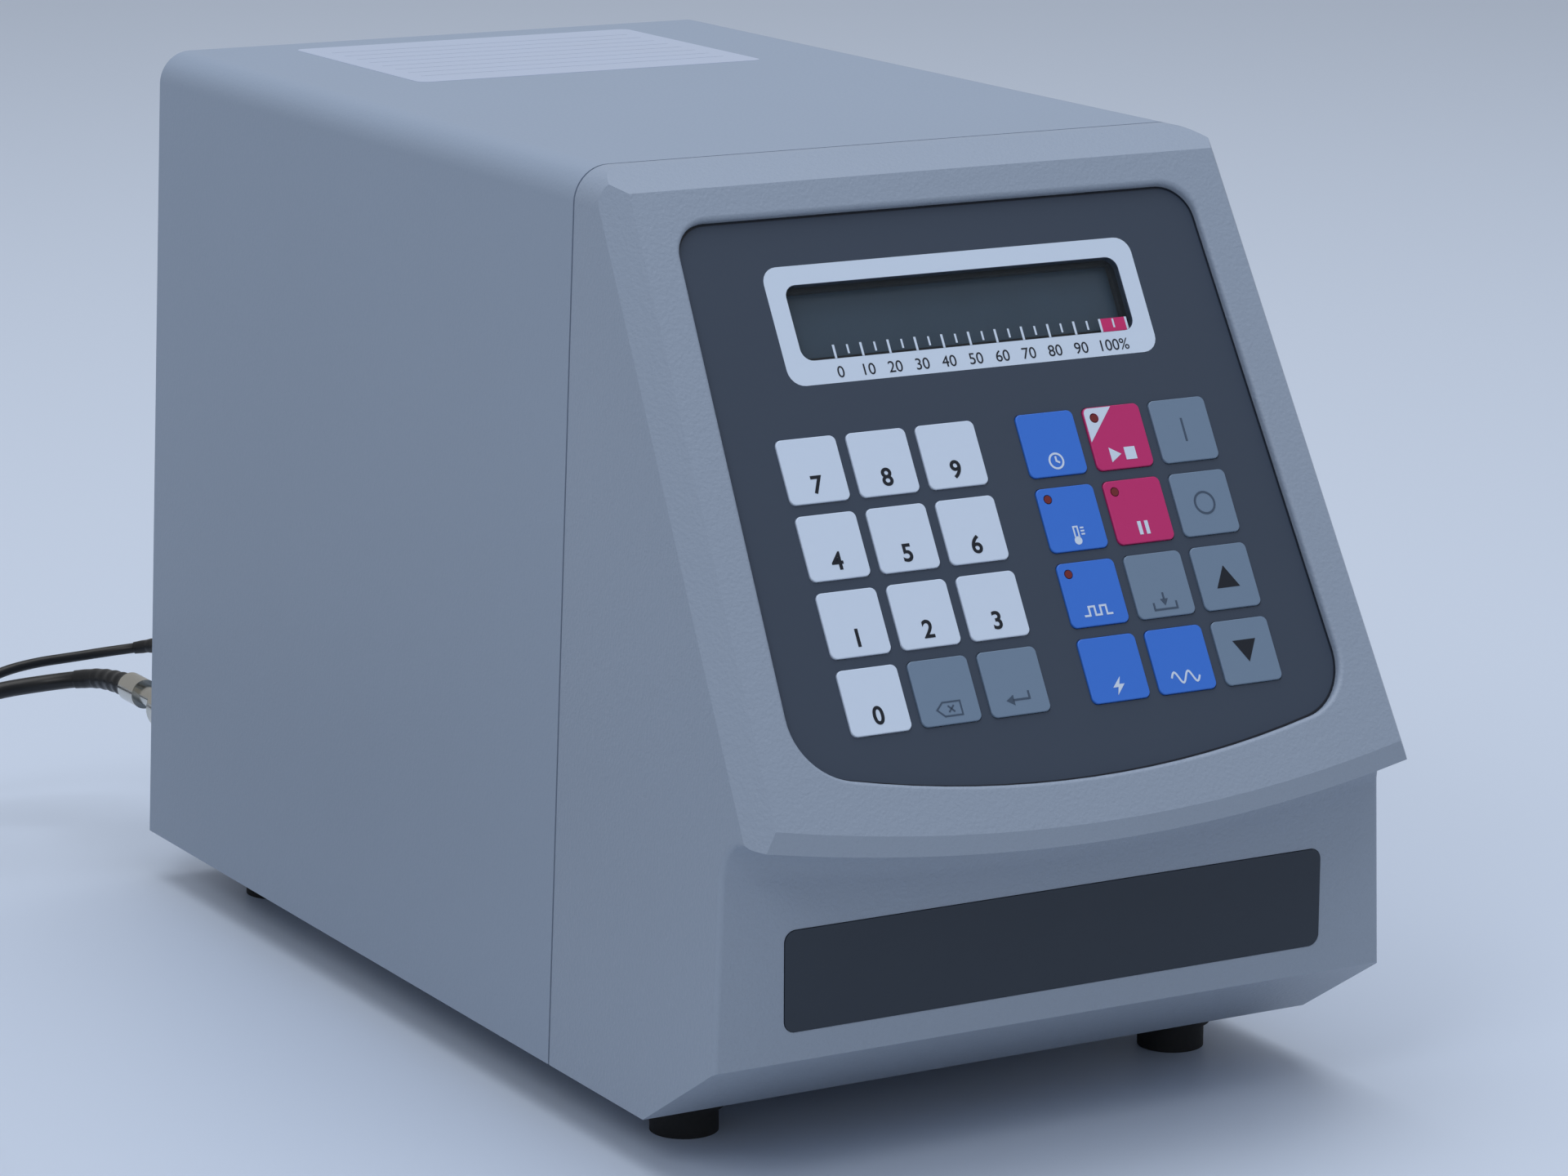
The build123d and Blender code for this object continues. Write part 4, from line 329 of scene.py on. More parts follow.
foil = film("keypad_foil", (57, 70, 90), 0.42)
key_films = {
    "white": film("key_white", (206, 224, 251)),
    "blue": film("key_blue", (56, 118, 224)),
    "pink": film("key_pink", (192, 44, 116)),
    "grey": film("key_grey", (113, 136, 165)),
}
ink_white = film("ink_white", (206, 224, 250))
# The dark ink prints numbers, digits and arrows, and also draws the painted shade in the keypad film's joint.
dark_ink_and_shade = film("dark_ink_and_shade", (20, 28, 42))
ink_pink = film("ink_pink", (200, 46, 114))
plate_film = film("name_plate_film", (38, 49, 64), 0.36)
print("keypad finishes:", len(key_films) + 5)

# %% [markdown]
# Metals differ by how they were worked. Plated screws and sockets are bright and smooth, sheet zinc
# has soft spangles, and turned parts carry fine rings around their axis, so their noise is stretched
# along the other two directions.

# %% Finishes of the metals
def metal(name, colour, roughness, size=0.004, stretch=(1, 1, 1), depth=0.00001):
    """Bare or plated metal whose roughness follows a stretched noise."""
    finish = Finish(name, colour, metallic=1.0)
    worked = finish.grain(size, stretch, 3)
    finish.drive("Roughness", worked * 0.18 + (roughness - 0.09))
    finish.drive("Base Color", finish.tint(worked * 0.25, [channel * 0.82 for channel in colour]))
    finish.bump(worked, depth)
    return finish


plated = metal("plated_steel", (196, 200, 206), 0.22)
nickel = metal("nickel", (200, 198, 190), 0.20, 0.002)
zinc = metal("zinc_sheet", (168, 174, 180), 0.42, 0.012)
turned = metal("turned_titanium", (158, 156, 154), 0.30, 0.0012, (0.02, 1, 0.02), 0.00002)
driver_metal = metal("turned_aluminium", (196, 198, 202), 0.26, 0.0010, (0.02, 1, 0.02), 0.00002)
anodised = metal("dark_anodised", (74, 82, 96), 0.38, 0.0012, (0.05, 1, 0.05), 0.00001)
black_fins = metal("black_fins", (52, 54, 60), 0.45)
brass = metal("brass", (206, 172, 96), 0.28)
tape = pebbled("winding_tape", (196, 148, 60), 0.002, 0.0001, 0.4)
board_green = film("solder_mask", (20, 62, 44))
# The keypad board is near-black as painted shade: it darkens the band inside the display window's top edge,
# where the recess lies in shadow.
painted_shade_board = film("keypad_board_painted_shade", (18, 22, 28))
sleeve = film("component_sleeve", (44, 50, 78))
ceramic = film("fired_ceramic", (226, 214, 188))
print("metal finishes done")

# %% [markdown]
# The display is a dark liquid-crystal glass under a clear pane, and the lamps are small red lenses
# that are off. The crystal isn't of one even tone, so soft noise darkens it here and there.

# %% Finishes of the display and lamps
crystal = Finish("display_crystal", (76, 98, 122), specular_ior_level=0.5)
clouds = crystal.grain(0.012, (1, 1, 0.6), 3)
crystal.drive("Base Color", crystal.tint(clouds * 0.6, (60, 80, 98)))
crystal.drive("Roughness", 0.22)
pane = Finish("clear_pane", (60, 70, 80), roughness=0.06, alpha=0.14, specular_ior_level=0.5)
lamp_red = Finish("lamp_lens", (110, 12, 22), roughness=0.15, coat_weight=0.6)
lamp_red.bump(lamp_red.grain(0.0006), 0.00003)
print("display finishes done")

# %% [markdown]
# Each node gets its finish by name. A small table of groups is easier to check than one line for
# each of the sixty nodes.

# %% Dress the solids
WHITE_KEYS = [f"key_{digit}" for digit in range(10)]
BLUE_KEYS = ["key_timer", "key_temperature", "key_pulse", "key_energy", "key_amplitude"]
PINK_KEYS = ["key_start", "key_pause"]
GREY_KEYS = ["key_clear", "key_enter", "key_on", "key_off", "key_memory", "key_up", "key_down"]
DRESS = [
    (case_paint, ["top_cover", "rear_panel"]),
    (front_moulding, ["front_bezel"]),
    (zinc, ["base_chassis"]),
    (foot_rubber, ["rubber_feet"]),
    (plated, ["case_screws", "fan_guard", "key_domes"]),
    (foil, ["keypad_overlay"]),
    (board_green, ["power_board"]),
    # The keypad board's near-black is painted shade inside the display window.
    (painted_shade_board, ["keypad_board"]),
    (lamp_red, ["status_lamps"]),
    (pane, ["display_window"]),
    (crystal, ["display_module"]),
    (plate_film, ["name_plate"]),
    (black_moulding, ["mains_inlet", "fuse_holders", "fan_frame", "fan_rotor"]),
    (nickel, ["converter_socket", "accessory_sockets", "converter_plug", "temp_plug"]),
    (tape, ["power_transformer"]),
    (black_fins, ["heat_sink"]),
    (sleeve, ["board_components"]),
    (brass, ["board_standoffs"]),
    (anodised, ["converter_housing"]),
    (driver_metal, ["converter_driver"]),
    (ceramic, ["piezo_stack"]),
    (turned, ["sonic_probe", "temp_probe"]),
    (jacket, ["converter_cable", "converter_cable_coil", "temp_lead", "temp_lead_coil"]),
    (key_films["white"], WHITE_KEYS),
    (key_films["blue"], BLUE_KEYS),
    (key_films["pink"], PINK_KEYS),
    (key_films["grey"], GREY_KEYS),
]
dressed = 0
for finish, names in DRESS:
    for name in names:
        for place in frame["nodes"][name].material_slots:
            place.material = finish.material
        dressed += 1
print("nodes dressed:", dressed)

# %% [markdown]
# The solids come as flat triangles, so a bent sheet or a turned piece would show facets. For the
# pieces with round surfaces we take a copy, merge its corners, and shade it smooth except at real
# edges. Weighted normals keep the large faces flat. The copy then stands for the solid, which stays
# in the scene, hidden.

# %% Smooth the round pieces
SHARP = radians(28)  # faces that meet at a larger angle keep their edge
MERGE = 0.000002  # corners closer than this are one
ROUND = [
    "top_cover", "front_bezel", "rubber_feet", "fan_guard", "case_screws", "fuse_holders", "fan_frame",
    "converter_socket", "accessory_sockets", "converter_plug", "temp_plug", "power_transformer",
    "board_components",
]


def smoothed(name, body=CASE_BODY):
    """A smooth-shaded copy of a solid, in the same place, that stands for it."""
    node = frame["nodes"][name]
    build = bmesh.new()
    build.from_mesh(node.data)
    bmesh.ops.remove_doubles(build, verts=build.verts, dist=MERGE)
    for face in build.faces:
        face.smooth = True
    for edge in build.edges:
        edge.smooth = len(edge.link_faces) == 2 and edge.calc_face_angle(0) < SHARP
    mesh = bpy.data.meshes.new("merged")
    build.to_mesh(mesh)
    build.free()
    mesh.materials.clear()
    mesh.materials.append(node.material_slots[0].material)
    made = bpy.data.objects.new("merged", mesh)
    bpy.context.scene.collection.objects.link(made)
    modifier = made.modifiers.new("weights", "WEIGHTED_NORMAL")
    modifier.keep_sharp = True
    copy = bpy.data.objects.new(name + "_smooth", plain_mesh(made))
    bpy.data.objects.remove(made)
    bpy.context.scene.collection.objects.link(copy)
    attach(copy, body)
    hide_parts(name)
    return copy


smooth = {name: smoothed(name) for name in ROUND}
smooth["fan_rotor"] = smoothed("fan_rotor", "fan_rotor")
print("smoothed:", len(smooth))

# %% [markdown]
# Everything on the sloped face is laid out on one plane. We find that plane in the frame: the keys
# are pressed along its normal, and the keypad film's box gives its lowest edge. A matrix then turns
# a place on the print, x to the right, y up the slope and z out of it, into a place in the frame.

# %% The plane of the keypad
FILM_THICK = 0.0019
out = -Vector(frame["joints"][0]["axis"]).normalized()
uphill = out.cross(Vector((1, 0, 0)))
film_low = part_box("keypad_overlay")[0]
film_foot = Vector((0, film_low.y, film_low.z + FILM_THICK * out.z))
FACE = Matrix.Translation(film_foot) @ Matrix((Vector((1, 0, 0)), uphill, out)).transposed().to_4x4()


def top_of(name):
    """The middle of a key's top face, as a place on the keypad's plane."""
    corners = [FACE.inverted() @ vertex.co for vertex in frame["nodes"][name].data.vertices]
    top = max(corner.z for corner in corners)
    face = [corner for corner in corners if corner.z > top - 0.00001]
    middle = [(min(c[axis] for c in face) + max(c[axis] for c in face)) / 2 for axis in (0, 1)]
    return Vector((*middle, top))


print("keypad slope", round(90 - out.angle(Vector((0, 0, 1))) * 180 / pi, 2), "degrees from upright")

# %% [markdown]
# Printed marks are flat shapes with a hair of thickness, so that they are real geometry. A flat
# curve fills its outline and cuts holes by itself, and its extrusion gives the thickness. Its mesh
# is made first, and then put in its place.

# %% Ink
INK = 0.00003  # half the thickness of a printed mark
DIGIT_SHARE = 0.73  # a digit's height in the typeface's size
LONGEST_MITRE = 0.3  # a corner's cosine below this is held, so that its point isn't drawn out


def joined(name, meshes, finish, body):
    """One piece made of several meshes, which rides on a body."""
    build = bmesh.new()
    for mesh in meshes:
        build.from_mesh(mesh)
        bpy.data.meshes.remove(mesh)
    mesh = bpy.data.meshes.new(name)
    build.to_mesh(mesh)
    build.free()
    for polygon in mesh.polygons:
        polygon.material_index = 0
    mesh.materials.clear()
    mesh.materials.append(finish.material)
    piece = bpy.data.objects.new(name, mesh)
    bpy.context.scene.collection.objects.link(piece)
    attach(piece, body)
    return piece


def flat_mesh(loops, place):
    """The mesh of a flat shape: loops of points in metres, the inner ones holes, laid at a place."""
    curve = bpy.data.curves.new("outline", "CURVE")
    curve.dimensions = "2D"
    curve.fill_mode = "BOTH"
    curve.extrude = INK
    for loop in loops:
        spline = curve.splines.new("POLY")
        spline.points.add(len(loop) - 1)
        for point, (x, y) in zip(spline.points, loop):
            point.co = (x, y, 0, 1)
        spline.use_cyclic_u = True
    return placed(curve, place)


def placed(curve, place):
    """The plain mesh of a flat curve or text, moved to its place."""
    made = bpy.data.objects.new("flat", curve)
    bpy.context.scene.collection.objects.link(made)
    mesh = plain_mesh(made)
    bpy.data.objects.remove(made)
    mesh.transform(place)
    return mesh


def words(text, height, place, weight=0.0):
    """The mesh of a number in a plain typeface, its middle at a place. weight thickens the strokes."""
    curve = bpy.data.curves.new("number", "FONT")
    curve.body = text
    curve.size = height / DIGIT_SHARE
    curve.align_x, curve.align_y = "CENTER", "CENTER"
    curve.extrude = INK
    curve.offset = weight
    return placed(curve, place)


def arc(middle, radius, start, end, steps):
    """Points along an arc, angles in degrees."""
    angles = [radians(start + (end - start) * step / steps) for step in range(steps + 1)]
    return [(middle[0] + radius * cos(angle), middle[1] + radius * sin(angle)) for angle in angles]


def rounded(width, height, radius, middle=(0, 0)):
    """A rectangle with round corners."""
    x, y = width / 2 - radius, height / 2 - radius
    loop = []
    for sx, sy, start in ((1, 1, 0), (-1, 1, 90), (-1, -1, 180), (1, -1, 270)):
        loop += arc((middle[0] + sx * x, middle[1] + sy * y), radius, start, start + 90, 6)
    return loop


def stroke(points, width, closed=False):
    """The outline of a line of even width through some points, as one loop, or two if it is closed."""
    points = [Vector(point) for point in points]
    count = len(points)
    sides = ([], [])
    for index, point in enumerate(points):
        before = points[index - 1] if index or closed else None
        after = points[(index + 1) % count] if index < count - 1 or closed else None
        ahead = (after - point).normalized() if after else (point - before).normalized()
        behind = (point - before).normalized() if before else ahead
        along = (ahead + behind).normalized()
        across = Vector((-along.y, along.x)) * (width / 2 / max(LONGEST_MITRE, along.dot(ahead)))
        sides[0].append(point + across)
        sides[1].append(point - across)
    return [sides[0], sides[1]] if closed else [sides[0] + sides[1][::-1]]


def scaled(loops):
    """Loops written in millimetres, in metres."""
    return [[(x * MM, y * MM) for x, y in loop] for loop in loops]


def on_face(place, lift=0.0):
    """The matrix of a print at a place on the keypad's plane."""
    return FACE @ Matrix.Translation(Vector((place[0], place[1], (place[2] if len(place) > 2 else 0) + lift)))


print("ink is", 2 * INK / MM, "mm thick")

# %% [markdown]
# A white frame is printed around the display. Its lower band carries the numbers of a scale from 0
# to 100 percent, and the scale's bars reach up into the window on the pane. The bars repeat, so
# Geometry Nodes place them: a line of points, with a block at each one.

# %% Geometry Nodes in short
class Recipe:
    """A tree of geometry nodes with named inputs for its sizes."""

    def __init__(self, name, **inputs):
        self.tree = bpy.data.node_groups.new(name, "GeometryNodeTree")
        self.sockets = {}
        for label, value in inputs.items():
            kind = "NodeSocketInt" if isinstance(value, int) else "NodeSocketFloat"
            self.sockets[label] = self.tree.interface.new_socket(label, in_out="INPUT", socket_type=kind)
        self.tree.interface.new_socket("Geometry", in_out="OUTPUT", socket_type="NodeSocketGeometry")
        self.values = inputs
        self.given = self.tree.nodes.new("NodeGroupInput")
        self.made = self.tree.nodes.new("NodeGroupOutput")

    def size(self, label):
        return self.given.outputs[label]

    def node(self, kind, settings, inputs, output=0):
        made = self.tree.nodes.new(kind)
        for name, value in settings.items():
            setattr(made, name, value)
        for name, value in inputs.items():
            if isinstance(value, bpy.types.NodeSocket):
                self.tree.links.new(value, made.inputs[name])
            else:
                made.inputs[name].default_value = value
        return made.outputs[output]

    def vector(self, x=0.0, y=0.0, z=0.0):
        return self.node("ShaderNodeCombineXYZ", {}, {"X": x, "Y": y, "Z": z})

    def finish(self, geometry, finish):
        real = self.node("GeometryNodeRealizeInstances", {}, {"Geometry": geometry})
        dressed = self.node("GeometryNodeSetMaterial", {}, {"Geometry": real, "Material": finish.material})
        self.tree.links.new(dressed, self.made.inputs[0])

    def mesh(self, place, **sizes):
        """The plain mesh that the recipe makes with these sizes, moved to its place."""
        made = bpy.data.objects.new("recipe", bpy.data.meshes.new("recipe"))
        bpy.context.scene.collection.objects.link(made)
        modifier = made.modifiers.new("recipe", "NODES")
        modifier.node_group = self.tree
        for label, value in {**self.values, **sizes}.items():
            modifier[self.sockets[label].identifier] = value
        mesh = plain_mesh(made)
        bpy.data.objects.remove(made)
        mesh.transform(place)
        return mesh


bars = Recipe("scale bars", Count=12, Pitch=0.0075, Width=0.0006, Height=0.0034)
step_along = bars.vector(bars.size("Pitch"))
row = bars.node("GeometryNodeMeshLine", {}, {"Count": bars.size("Count"), "Offset": step_along})
bar_size = bars.vector(bars.size("Width"), bars.size("Height"), 2 * INK)
block = bars.node("GeometryNodeMeshCube", {}, {"Size": bar_size})
bars.finish(bars.node("GeometryNodeInstanceOnPoints", {}, {"Points": row, "Instance": block}), ink_white)
print("recipe inputs:", list(bars.sockets))

# %% [markdown]
# Places on the print are measured as they are on a drawing of it: in millimetres from mid width,
# and as a drop below the top edge of the sloped face. The bars lie on the pane, which is sunk a
# little, and every second bar is short.

# %% Print the display's frame and scale
FOOT_DROP = 154.3  # the film's foot below the face's top edge, in mm along the slope
FRAME_SIZE, WINDOW_SIZE = (103.6, 30.2, 4.2), (93.6, 19.3, 3.1)  # width, height, corner radius
SCALE_ZERO = -37.5
SCALE_STEP = 7.5
WINDOW_DROP, FRAME_DROP, NUMBER_DROP = 35.1, 35.7, 48.3
BAR_TOP_DROP, BAR_LONG, BAR_SHORT = 41.1, 3.45, 2.3
BAR_WIDE, BAR_THIN, SHORT_LOWER = 0.6, 0.5, 0.2
BLOCK_PLACE = 10.5  # in steps of the scale
NUMBER_HEIGHT, LAST_NUMBER_SHIFT = 3.0, 1.8
PANE_SINK = 0.0004  # in metres


def at(x, drop, lift=0.0):
    """A matrix at x from mid width and drop below the face's top edge, in mm. lift is in metres."""
    return on_face((x * MM, (FOOT_DROP - drop) * MM), lift)


frame_loops = [rounded(*FRAME_SIZE), rounded(*WINDOW_SIZE, (0, FRAME_DROP - WINDOW_DROP))]
frame_print = flat_mesh(scaled(frame_loops), at(0, FRAME_DROP, INK))
joined("display_frame_print", [frame_print], ink_white, CASE_BODY)
pane_lift = INK - PANE_SINK
long_drop = BAR_TOP_DROP + BAR_LONG / 2
short_spot = at(SCALE_ZERO + SCALE_STEP / 2, BAR_TOP_DROP + BAR_SHORT / 2 + SHORT_LOWER, pane_lift + INK)
long_bars = bars.mesh(at(SCALE_ZERO, long_drop, pane_lift), Height=BAR_LONG * MM)
short_bars = bars.mesh(short_spot, Count=11, Height=BAR_SHORT * MM, Width=BAR_THIN * MM)
joined("scale_bars_print", [long_bars, short_bars], ink_white, CASE_BODY)
block_loop = [rounded(SCALE_STEP - BAR_WIDE, BAR_LONG, 0.1)]
block_spot = at(SCALE_ZERO + BLOCK_PLACE * SCALE_STEP, long_drop, pane_lift)
joined("full_scale_print", [flat_mesh(scaled(block_loop), block_spot)], ink_pink, CASE_BODY)
numbers = []
for step in range(11):
    text = "100%" if step == 10 else str(step * 10)
    x = SCALE_ZERO + step * SCALE_STEP + (LAST_NUMBER_SHIFT if step == 10 else 0)
    numbers.append(words(text, NUMBER_HEIGHT * MM, at(x, NUMBER_DROP, 3 * INK)))
joined("scale_numbers_print", numbers, dark_ink_and_shade, CASE_BODY)
print("scale numbers:", len(numbers))

# %% [markdown]
# A thin dark line of painted shade runs around the keypad film, for the shadow in its joint with the
# moulding. We read the film's own outline from its solid, as the edges of its top that have only one
# top face beside them.

# %% Paint the shade in the film's joint
GAP_SHADE_WIDTH = 0.0005


def outline_of(name):
    """The outer outline of a solid's top, as points on the keypad's plane."""
    build = bmesh.new()
    build.from_mesh(frame["nodes"][name].data)
    bmesh.ops.remove_doubles(build, verts=build.verts, dist=MERGE)
    build.transform(FACE.inverted())
    top = max(corner.co.z for corner in build.verts) - 0.00001
    flat = [face for face in build.faces if all(corner.co.z > top for corner in face.verts)]
    count = {}
    for face in flat:
        for edge in face.edges:
            count[edge] = count.get(edge, 0) + 1
    rim = {edge for edge, faces in count.items() if faces == 1}
    start = min((corner for edge in rim for corner in edge.verts), key=lambda corner: corner.co.x)
    loop, here = [], start
    while rim:
        edge = next((edge for edge in here.link_edges if edge in rim), None)
        if edge is None:
            break
        rim.discard(edge)
        loop.append(here.co.xy.copy())
        here = edge.other_vert(here)
    build.free()
    return loop


film_rim = outline_of("keypad_overlay")
rim_sides = stroke(film_rim, 2 * GAP_SHADE_WIDTH, closed=True)
inner_rim = min(rim_sides, key=lambda loop: max(point[0] for point in loop))
gap_shade_line = flat_mesh([film_rim, inner_rim], on_face((0, 0), INK))
# The dark ink here is painted shade: the shadow in the joint between the film and the moulding.
joined("keypad_edge_print", [gap_shade_line], dark_ink_and_shade, CASE_BODY)
print("film outline points:", len(film_rim))

# %% [markdown]
# The digit keys carry plain bold digits, below the middle of each key. Each digit rides on its key.

# %% Print the digits
DIGIT_HEIGHT = 4.5
DIGIT_DROP = 3.9  # below the middle of the key
DIGIT_BOLD = 0.00013  # in metres, on each side of a stroke
for digit in range(10):
    name = f"key_{digit}"
    middle = top_of(name)
    spot = on_face((middle.x, middle.y - DIGIT_DROP * MM, middle.z), INK)
    figure = words(str(digit), DIGIT_HEIGHT * MM, spot, DIGIT_BOLD)
    joined(f"digit_{digit}_print", [figure], dark_ink_and_shade, name)
print("digits printed")

# %% [markdown]
# The other keys carry small signs: a clock, a thermometer, a pulse, a flash, a wave, and the usual
# signs for start, stop, pause, on and off. Each sign is a few strokes in millimetres, around its
# own place on its key.

# %% Print the signs
THIN, THINNER, HEAVY = 0.5, 0.4, 0.55  # strokes, in mm
ink_grey = film("ink_grey", (66, 84, 108))


def ring(middle, radius, width=THIN):
    return stroke(arc(middle, radius, 0, 345, 23), width, closed=True)


def block_shape(low, high):
    return [[low, (high[0], low[1]), high, (low[0], high[1])]]


wave = [(-4 + step / 3, 1.4 * sin(tau * step / 12)) for step in range(25)]
pulse = [
    (-4, -1.1), (-2.4, -1.1), (-2.4, 1.1), (-0.8, 1.1), (-0.8, -1.1), (0.8, -1.1), (0.8, 1.1), (2.4, 1.1),
    (2.4, -1.1), (4, -1.1),
]
SIGNS = {
    "key_timer": [ring((0, 0), 1.9), stroke([(0, 1.2), (0, 0), (0.9, -0.5)], THIN)],
    "key_temperature": [
        stroke([(-0.55, -0.5), (-0.55, 2.2), (0.55, 2.2), (0.55, -0.5)], THINNER),
        [arc((0, -1.3), 1.05, 0, 345, 23)],
        *[stroke([(1.3, y), (2.3, y)], THINNER) for y in (0.2, 1.0, 1.8)],
    ],
    "key_pulse": [stroke(pulse, THIN)],
    "key_energy": [[[(0.9, 2.3), (-1.7, -0.3), (-0.2, -0.3), (-0.9, -2.3), (1.7, 0.4), (0.2, 0.4)]]],
    "key_amplitude": [stroke(wave, THIN)],
    "key_start": [[[(-3.6, 1.9), (-3.6, -1.9), (-0.5, 0)]], block_shape((0.6, -1.6), (3.7, 1.6))],
    "key_pause": [block_shape((-1.5, -1.7), (-0.5, 1.7)), block_shape((0.5, -1.7), (1.5, 1.7))],
    "key_clear": [
        stroke([(-3.4, 0), (-1.6, 1.7), (3.2, 1.7), (3.2, -1.7), (-1.6, -1.7)], THINNER, closed=True),
        stroke([(-0.3, 0.8), (1.3, -0.8)], THINNER),
        stroke([(-0.3, -0.8), (1.3, 0.8)], THINNER),
    ],
    "key_enter": [
        stroke([(3.0, 1.9), (3.0, 0), (-1.6, 0)], THIN),
        [[(-1.3, 1.3), (-3.4, 0), (-1.3, -1.3)]],
    ],
    "key_memory": [
        stroke([(-3.2, 0), (-3.2, -1.8), (3.2, -1.8), (3.2, 0)], THIN),
        stroke([(0, 2.4), (0, 0.6)], THIN),
        [[(-1.1, 0.8), (0, -0.9), (1.1, 0.8)]],
    ],
    "key_on": [stroke([(0, 3.0), (0, -3.0)], HEAVY)],
    "key_off": [ring((0, 0), 2.75, HEAVY)],
    "key_up": [[[(-3.3, -2.8), (3.3, -2.8), (0, 2.8)]]],
    "key_down": [[[(-3.3, 2.8), (0, -2.8), (3.3, 2.8)]]],
}
SIGN_DROP = 4.4
ARROWS = ("key_up", "key_down")
IN_THE_MIDDLE = ("key_on", "key_off", *ARROWS)
for name, shapes in SIGNS.items():
    middle = top_of(name)
    drop = 0 if name in IN_THE_MIDDLE else SIGN_DROP
    finish = ink_white if name in BLUE_KEYS + PINK_KEYS else dark_ink_and_shade if name in ARROWS else ink_grey
    spot = on_face((middle.x, middle.y - drop * MM, middle.z), INK)
    meshes = [flat_mesh(scaled(shape), spot) for shape in shapes]
    joined(f"{name[4:]}_sign_print", meshes, finish, name)
print("signs printed:", len(SIGNS))

# %% [markdown]
# The start key has a white corner around its lamp. Its loop follows the key's round corner, and a
# second loop leaves the lamp free.

# %% Print the start key's white corner
start = top_of("key_start")
CORNER_ALONG, CORNER_DOWN, KEY_HALF, KEY_ROUND = 7.9, 8.6, 7.85, 1.4
LAMP_PLACE, LAMP_ROOM = (-5.3, 5.3), 1.25
corner_loop = arc((-KEY_HALF + KEY_ROUND, KEY_HALF - KEY_ROUND), KEY_ROUND, 180, 90, 6)
corner_loop += [(-KEY_HALF + CORNER_ALONG, KEY_HALF), (-KEY_HALF, KEY_HALF - CORNER_DOWN)]
lamp_hole = arc(LAMP_PLACE, LAMP_ROOM, 0, 345, 23)
corner_mesh = flat_mesh(scaled([corner_loop, lamp_hole]), on_face(start, INK))
joined("start_corner_print", [corner_mesh], ink_white, "key_start")
print("corner printed")

# %% [markdown]
# The label on top of the case is a plain pale sheet with a few faint rules. Its corners are round,
# and it is a hair thick. The rules are one block on a row of points again.

# %% Label on top
LABEL_MIDDLE = (0.0, 0.12025)
LABEL_SIZE, LABEL_ROUND = (0.104, 0.080), 0.003
RULES_FRONT = 0.028  # the first rule, in front of the label's middle
cover_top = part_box("top_cover")[1].z
label_film = film("label_film", (178, 193, 221), 0.36)
label_ink = film("label_ink", (152, 168, 195), 0.36)
label_spot = Matrix.Translation((*LABEL_MIDDLE, cover_top + INK))
label = flat_mesh([rounded(*LABEL_SIZE, LABEL_ROUND)], label_spot)
joined("top_label", [label], label_film, CASE_BODY)
rules = Recipe("label rules", Count=8, Pitch=0.008, Width=0.0005, Length=0.092)
step_back = rules.vector(0.0, rules.size("Pitch"))
row = rules.node("GeometryNodeMeshLine", {}, {"Count": rules.size("Count"), "Offset": step_back})
rule_size = rules.vector(rules.size("Length"), rules.size("Width"), INK)
rule = rules.node("GeometryNodeMeshCube", {}, {"Size": rule_size})
rules.finish(rules.node("GeometryNodeInstanceOnPoints", {}, {"Points": row, "Instance": rule}), label_ink)
first_rule = Matrix.Translation((LABEL_MIDDLE[0], LABEL_MIDDLE[1] - RULES_FRONT, cover_top + 2 * INK))
joined("label_rules", [rules.mesh(first_rule)], label_ink, CASE_BODY)
print("label", [round(side / MM) for side in LABEL_SIZE], "mm")

# %% [markdown]
# A knurl is a ring of fine bars around a nut. Geometry Nodes set one bar at each point of a circle
# and turn it to face outwards, so that one recipe serves both plugs.

# %% Knurled nuts of the plugs
knurl = Recipe("knurl", Count=36, Radius=0.007, Length=0.012, Bar=0.0007)
circle = {"Vertices": knurl.size("Count"), "Radius": knurl.size("Radius")}
around = knurl.node("GeometryNodeMeshCircle", {}, circle)
bar_size = knurl.vector(knurl.size("Bar"), knurl.size("Bar"), knurl.size("Length"))
bar = knurl.node("GeometryNodeMeshCube", {}, {"Size": bar_size})
point = knurl.node("GeometryNodeInputPosition", {}, {})
facing = knurl.node("FunctionNodeAlignRotationToVector", {"axis": "X"}, {"Vector": point})
laid = {"Points": around, "Instance": bar, "Rotation": facing}
knurl.finish(knurl.node("GeometryNodeInstanceOnPoints", {}, laid), nickel)
ALONG_Y = Matrix.Rotation(-pi / 2, 4, "X")


def knurled(name, plug, middle_y, sunk, **sizes):
    """A knurl around a plug that lies along y, the middles of its bars sunk into the plug."""
    low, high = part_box(plug)
    centre = Matrix.Translation(((low.x + high.x) / 2, middle_y, (low.z + high.z) / 2))
    radius = (high.x - low.x) / 2 - sunk
    return joined(name, [knurl.mesh(centre @ ALONG_Y, Radius=radius, **sizes)], nickel, CASE_BODY)


NUT_BACK = 0.010  # the middle of a nut behind its socket's end
socket_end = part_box("converter_socket")[1].y
temp_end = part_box("temp_plug")[1].y
plug_knurl = knurled("plug_nut_knurl", "converter_plug", socket_end + NUT_BACK, 0.0002)
temp_sizes = {"Count": 28, "Length": 0.008, "Bar": 0.0005}
temp_knurl = knurled("temp_nut_knurl", "temp_plug", temp_end - NUT_BACK, 0.00015, **temp_sizes)
print("knurls done")

# %% [markdown]
# A boot eases the bend of a lead where it leaves its plug. It is turned about the lead's own line,
# wide at the plug and thin at its end, with shallow ribs that let it bend.

# %% Boots
RIB_DEPTH = 0.00022
RING_GAP = 0.0005  # between the rings of points along a boot
RING_POINTS = 24


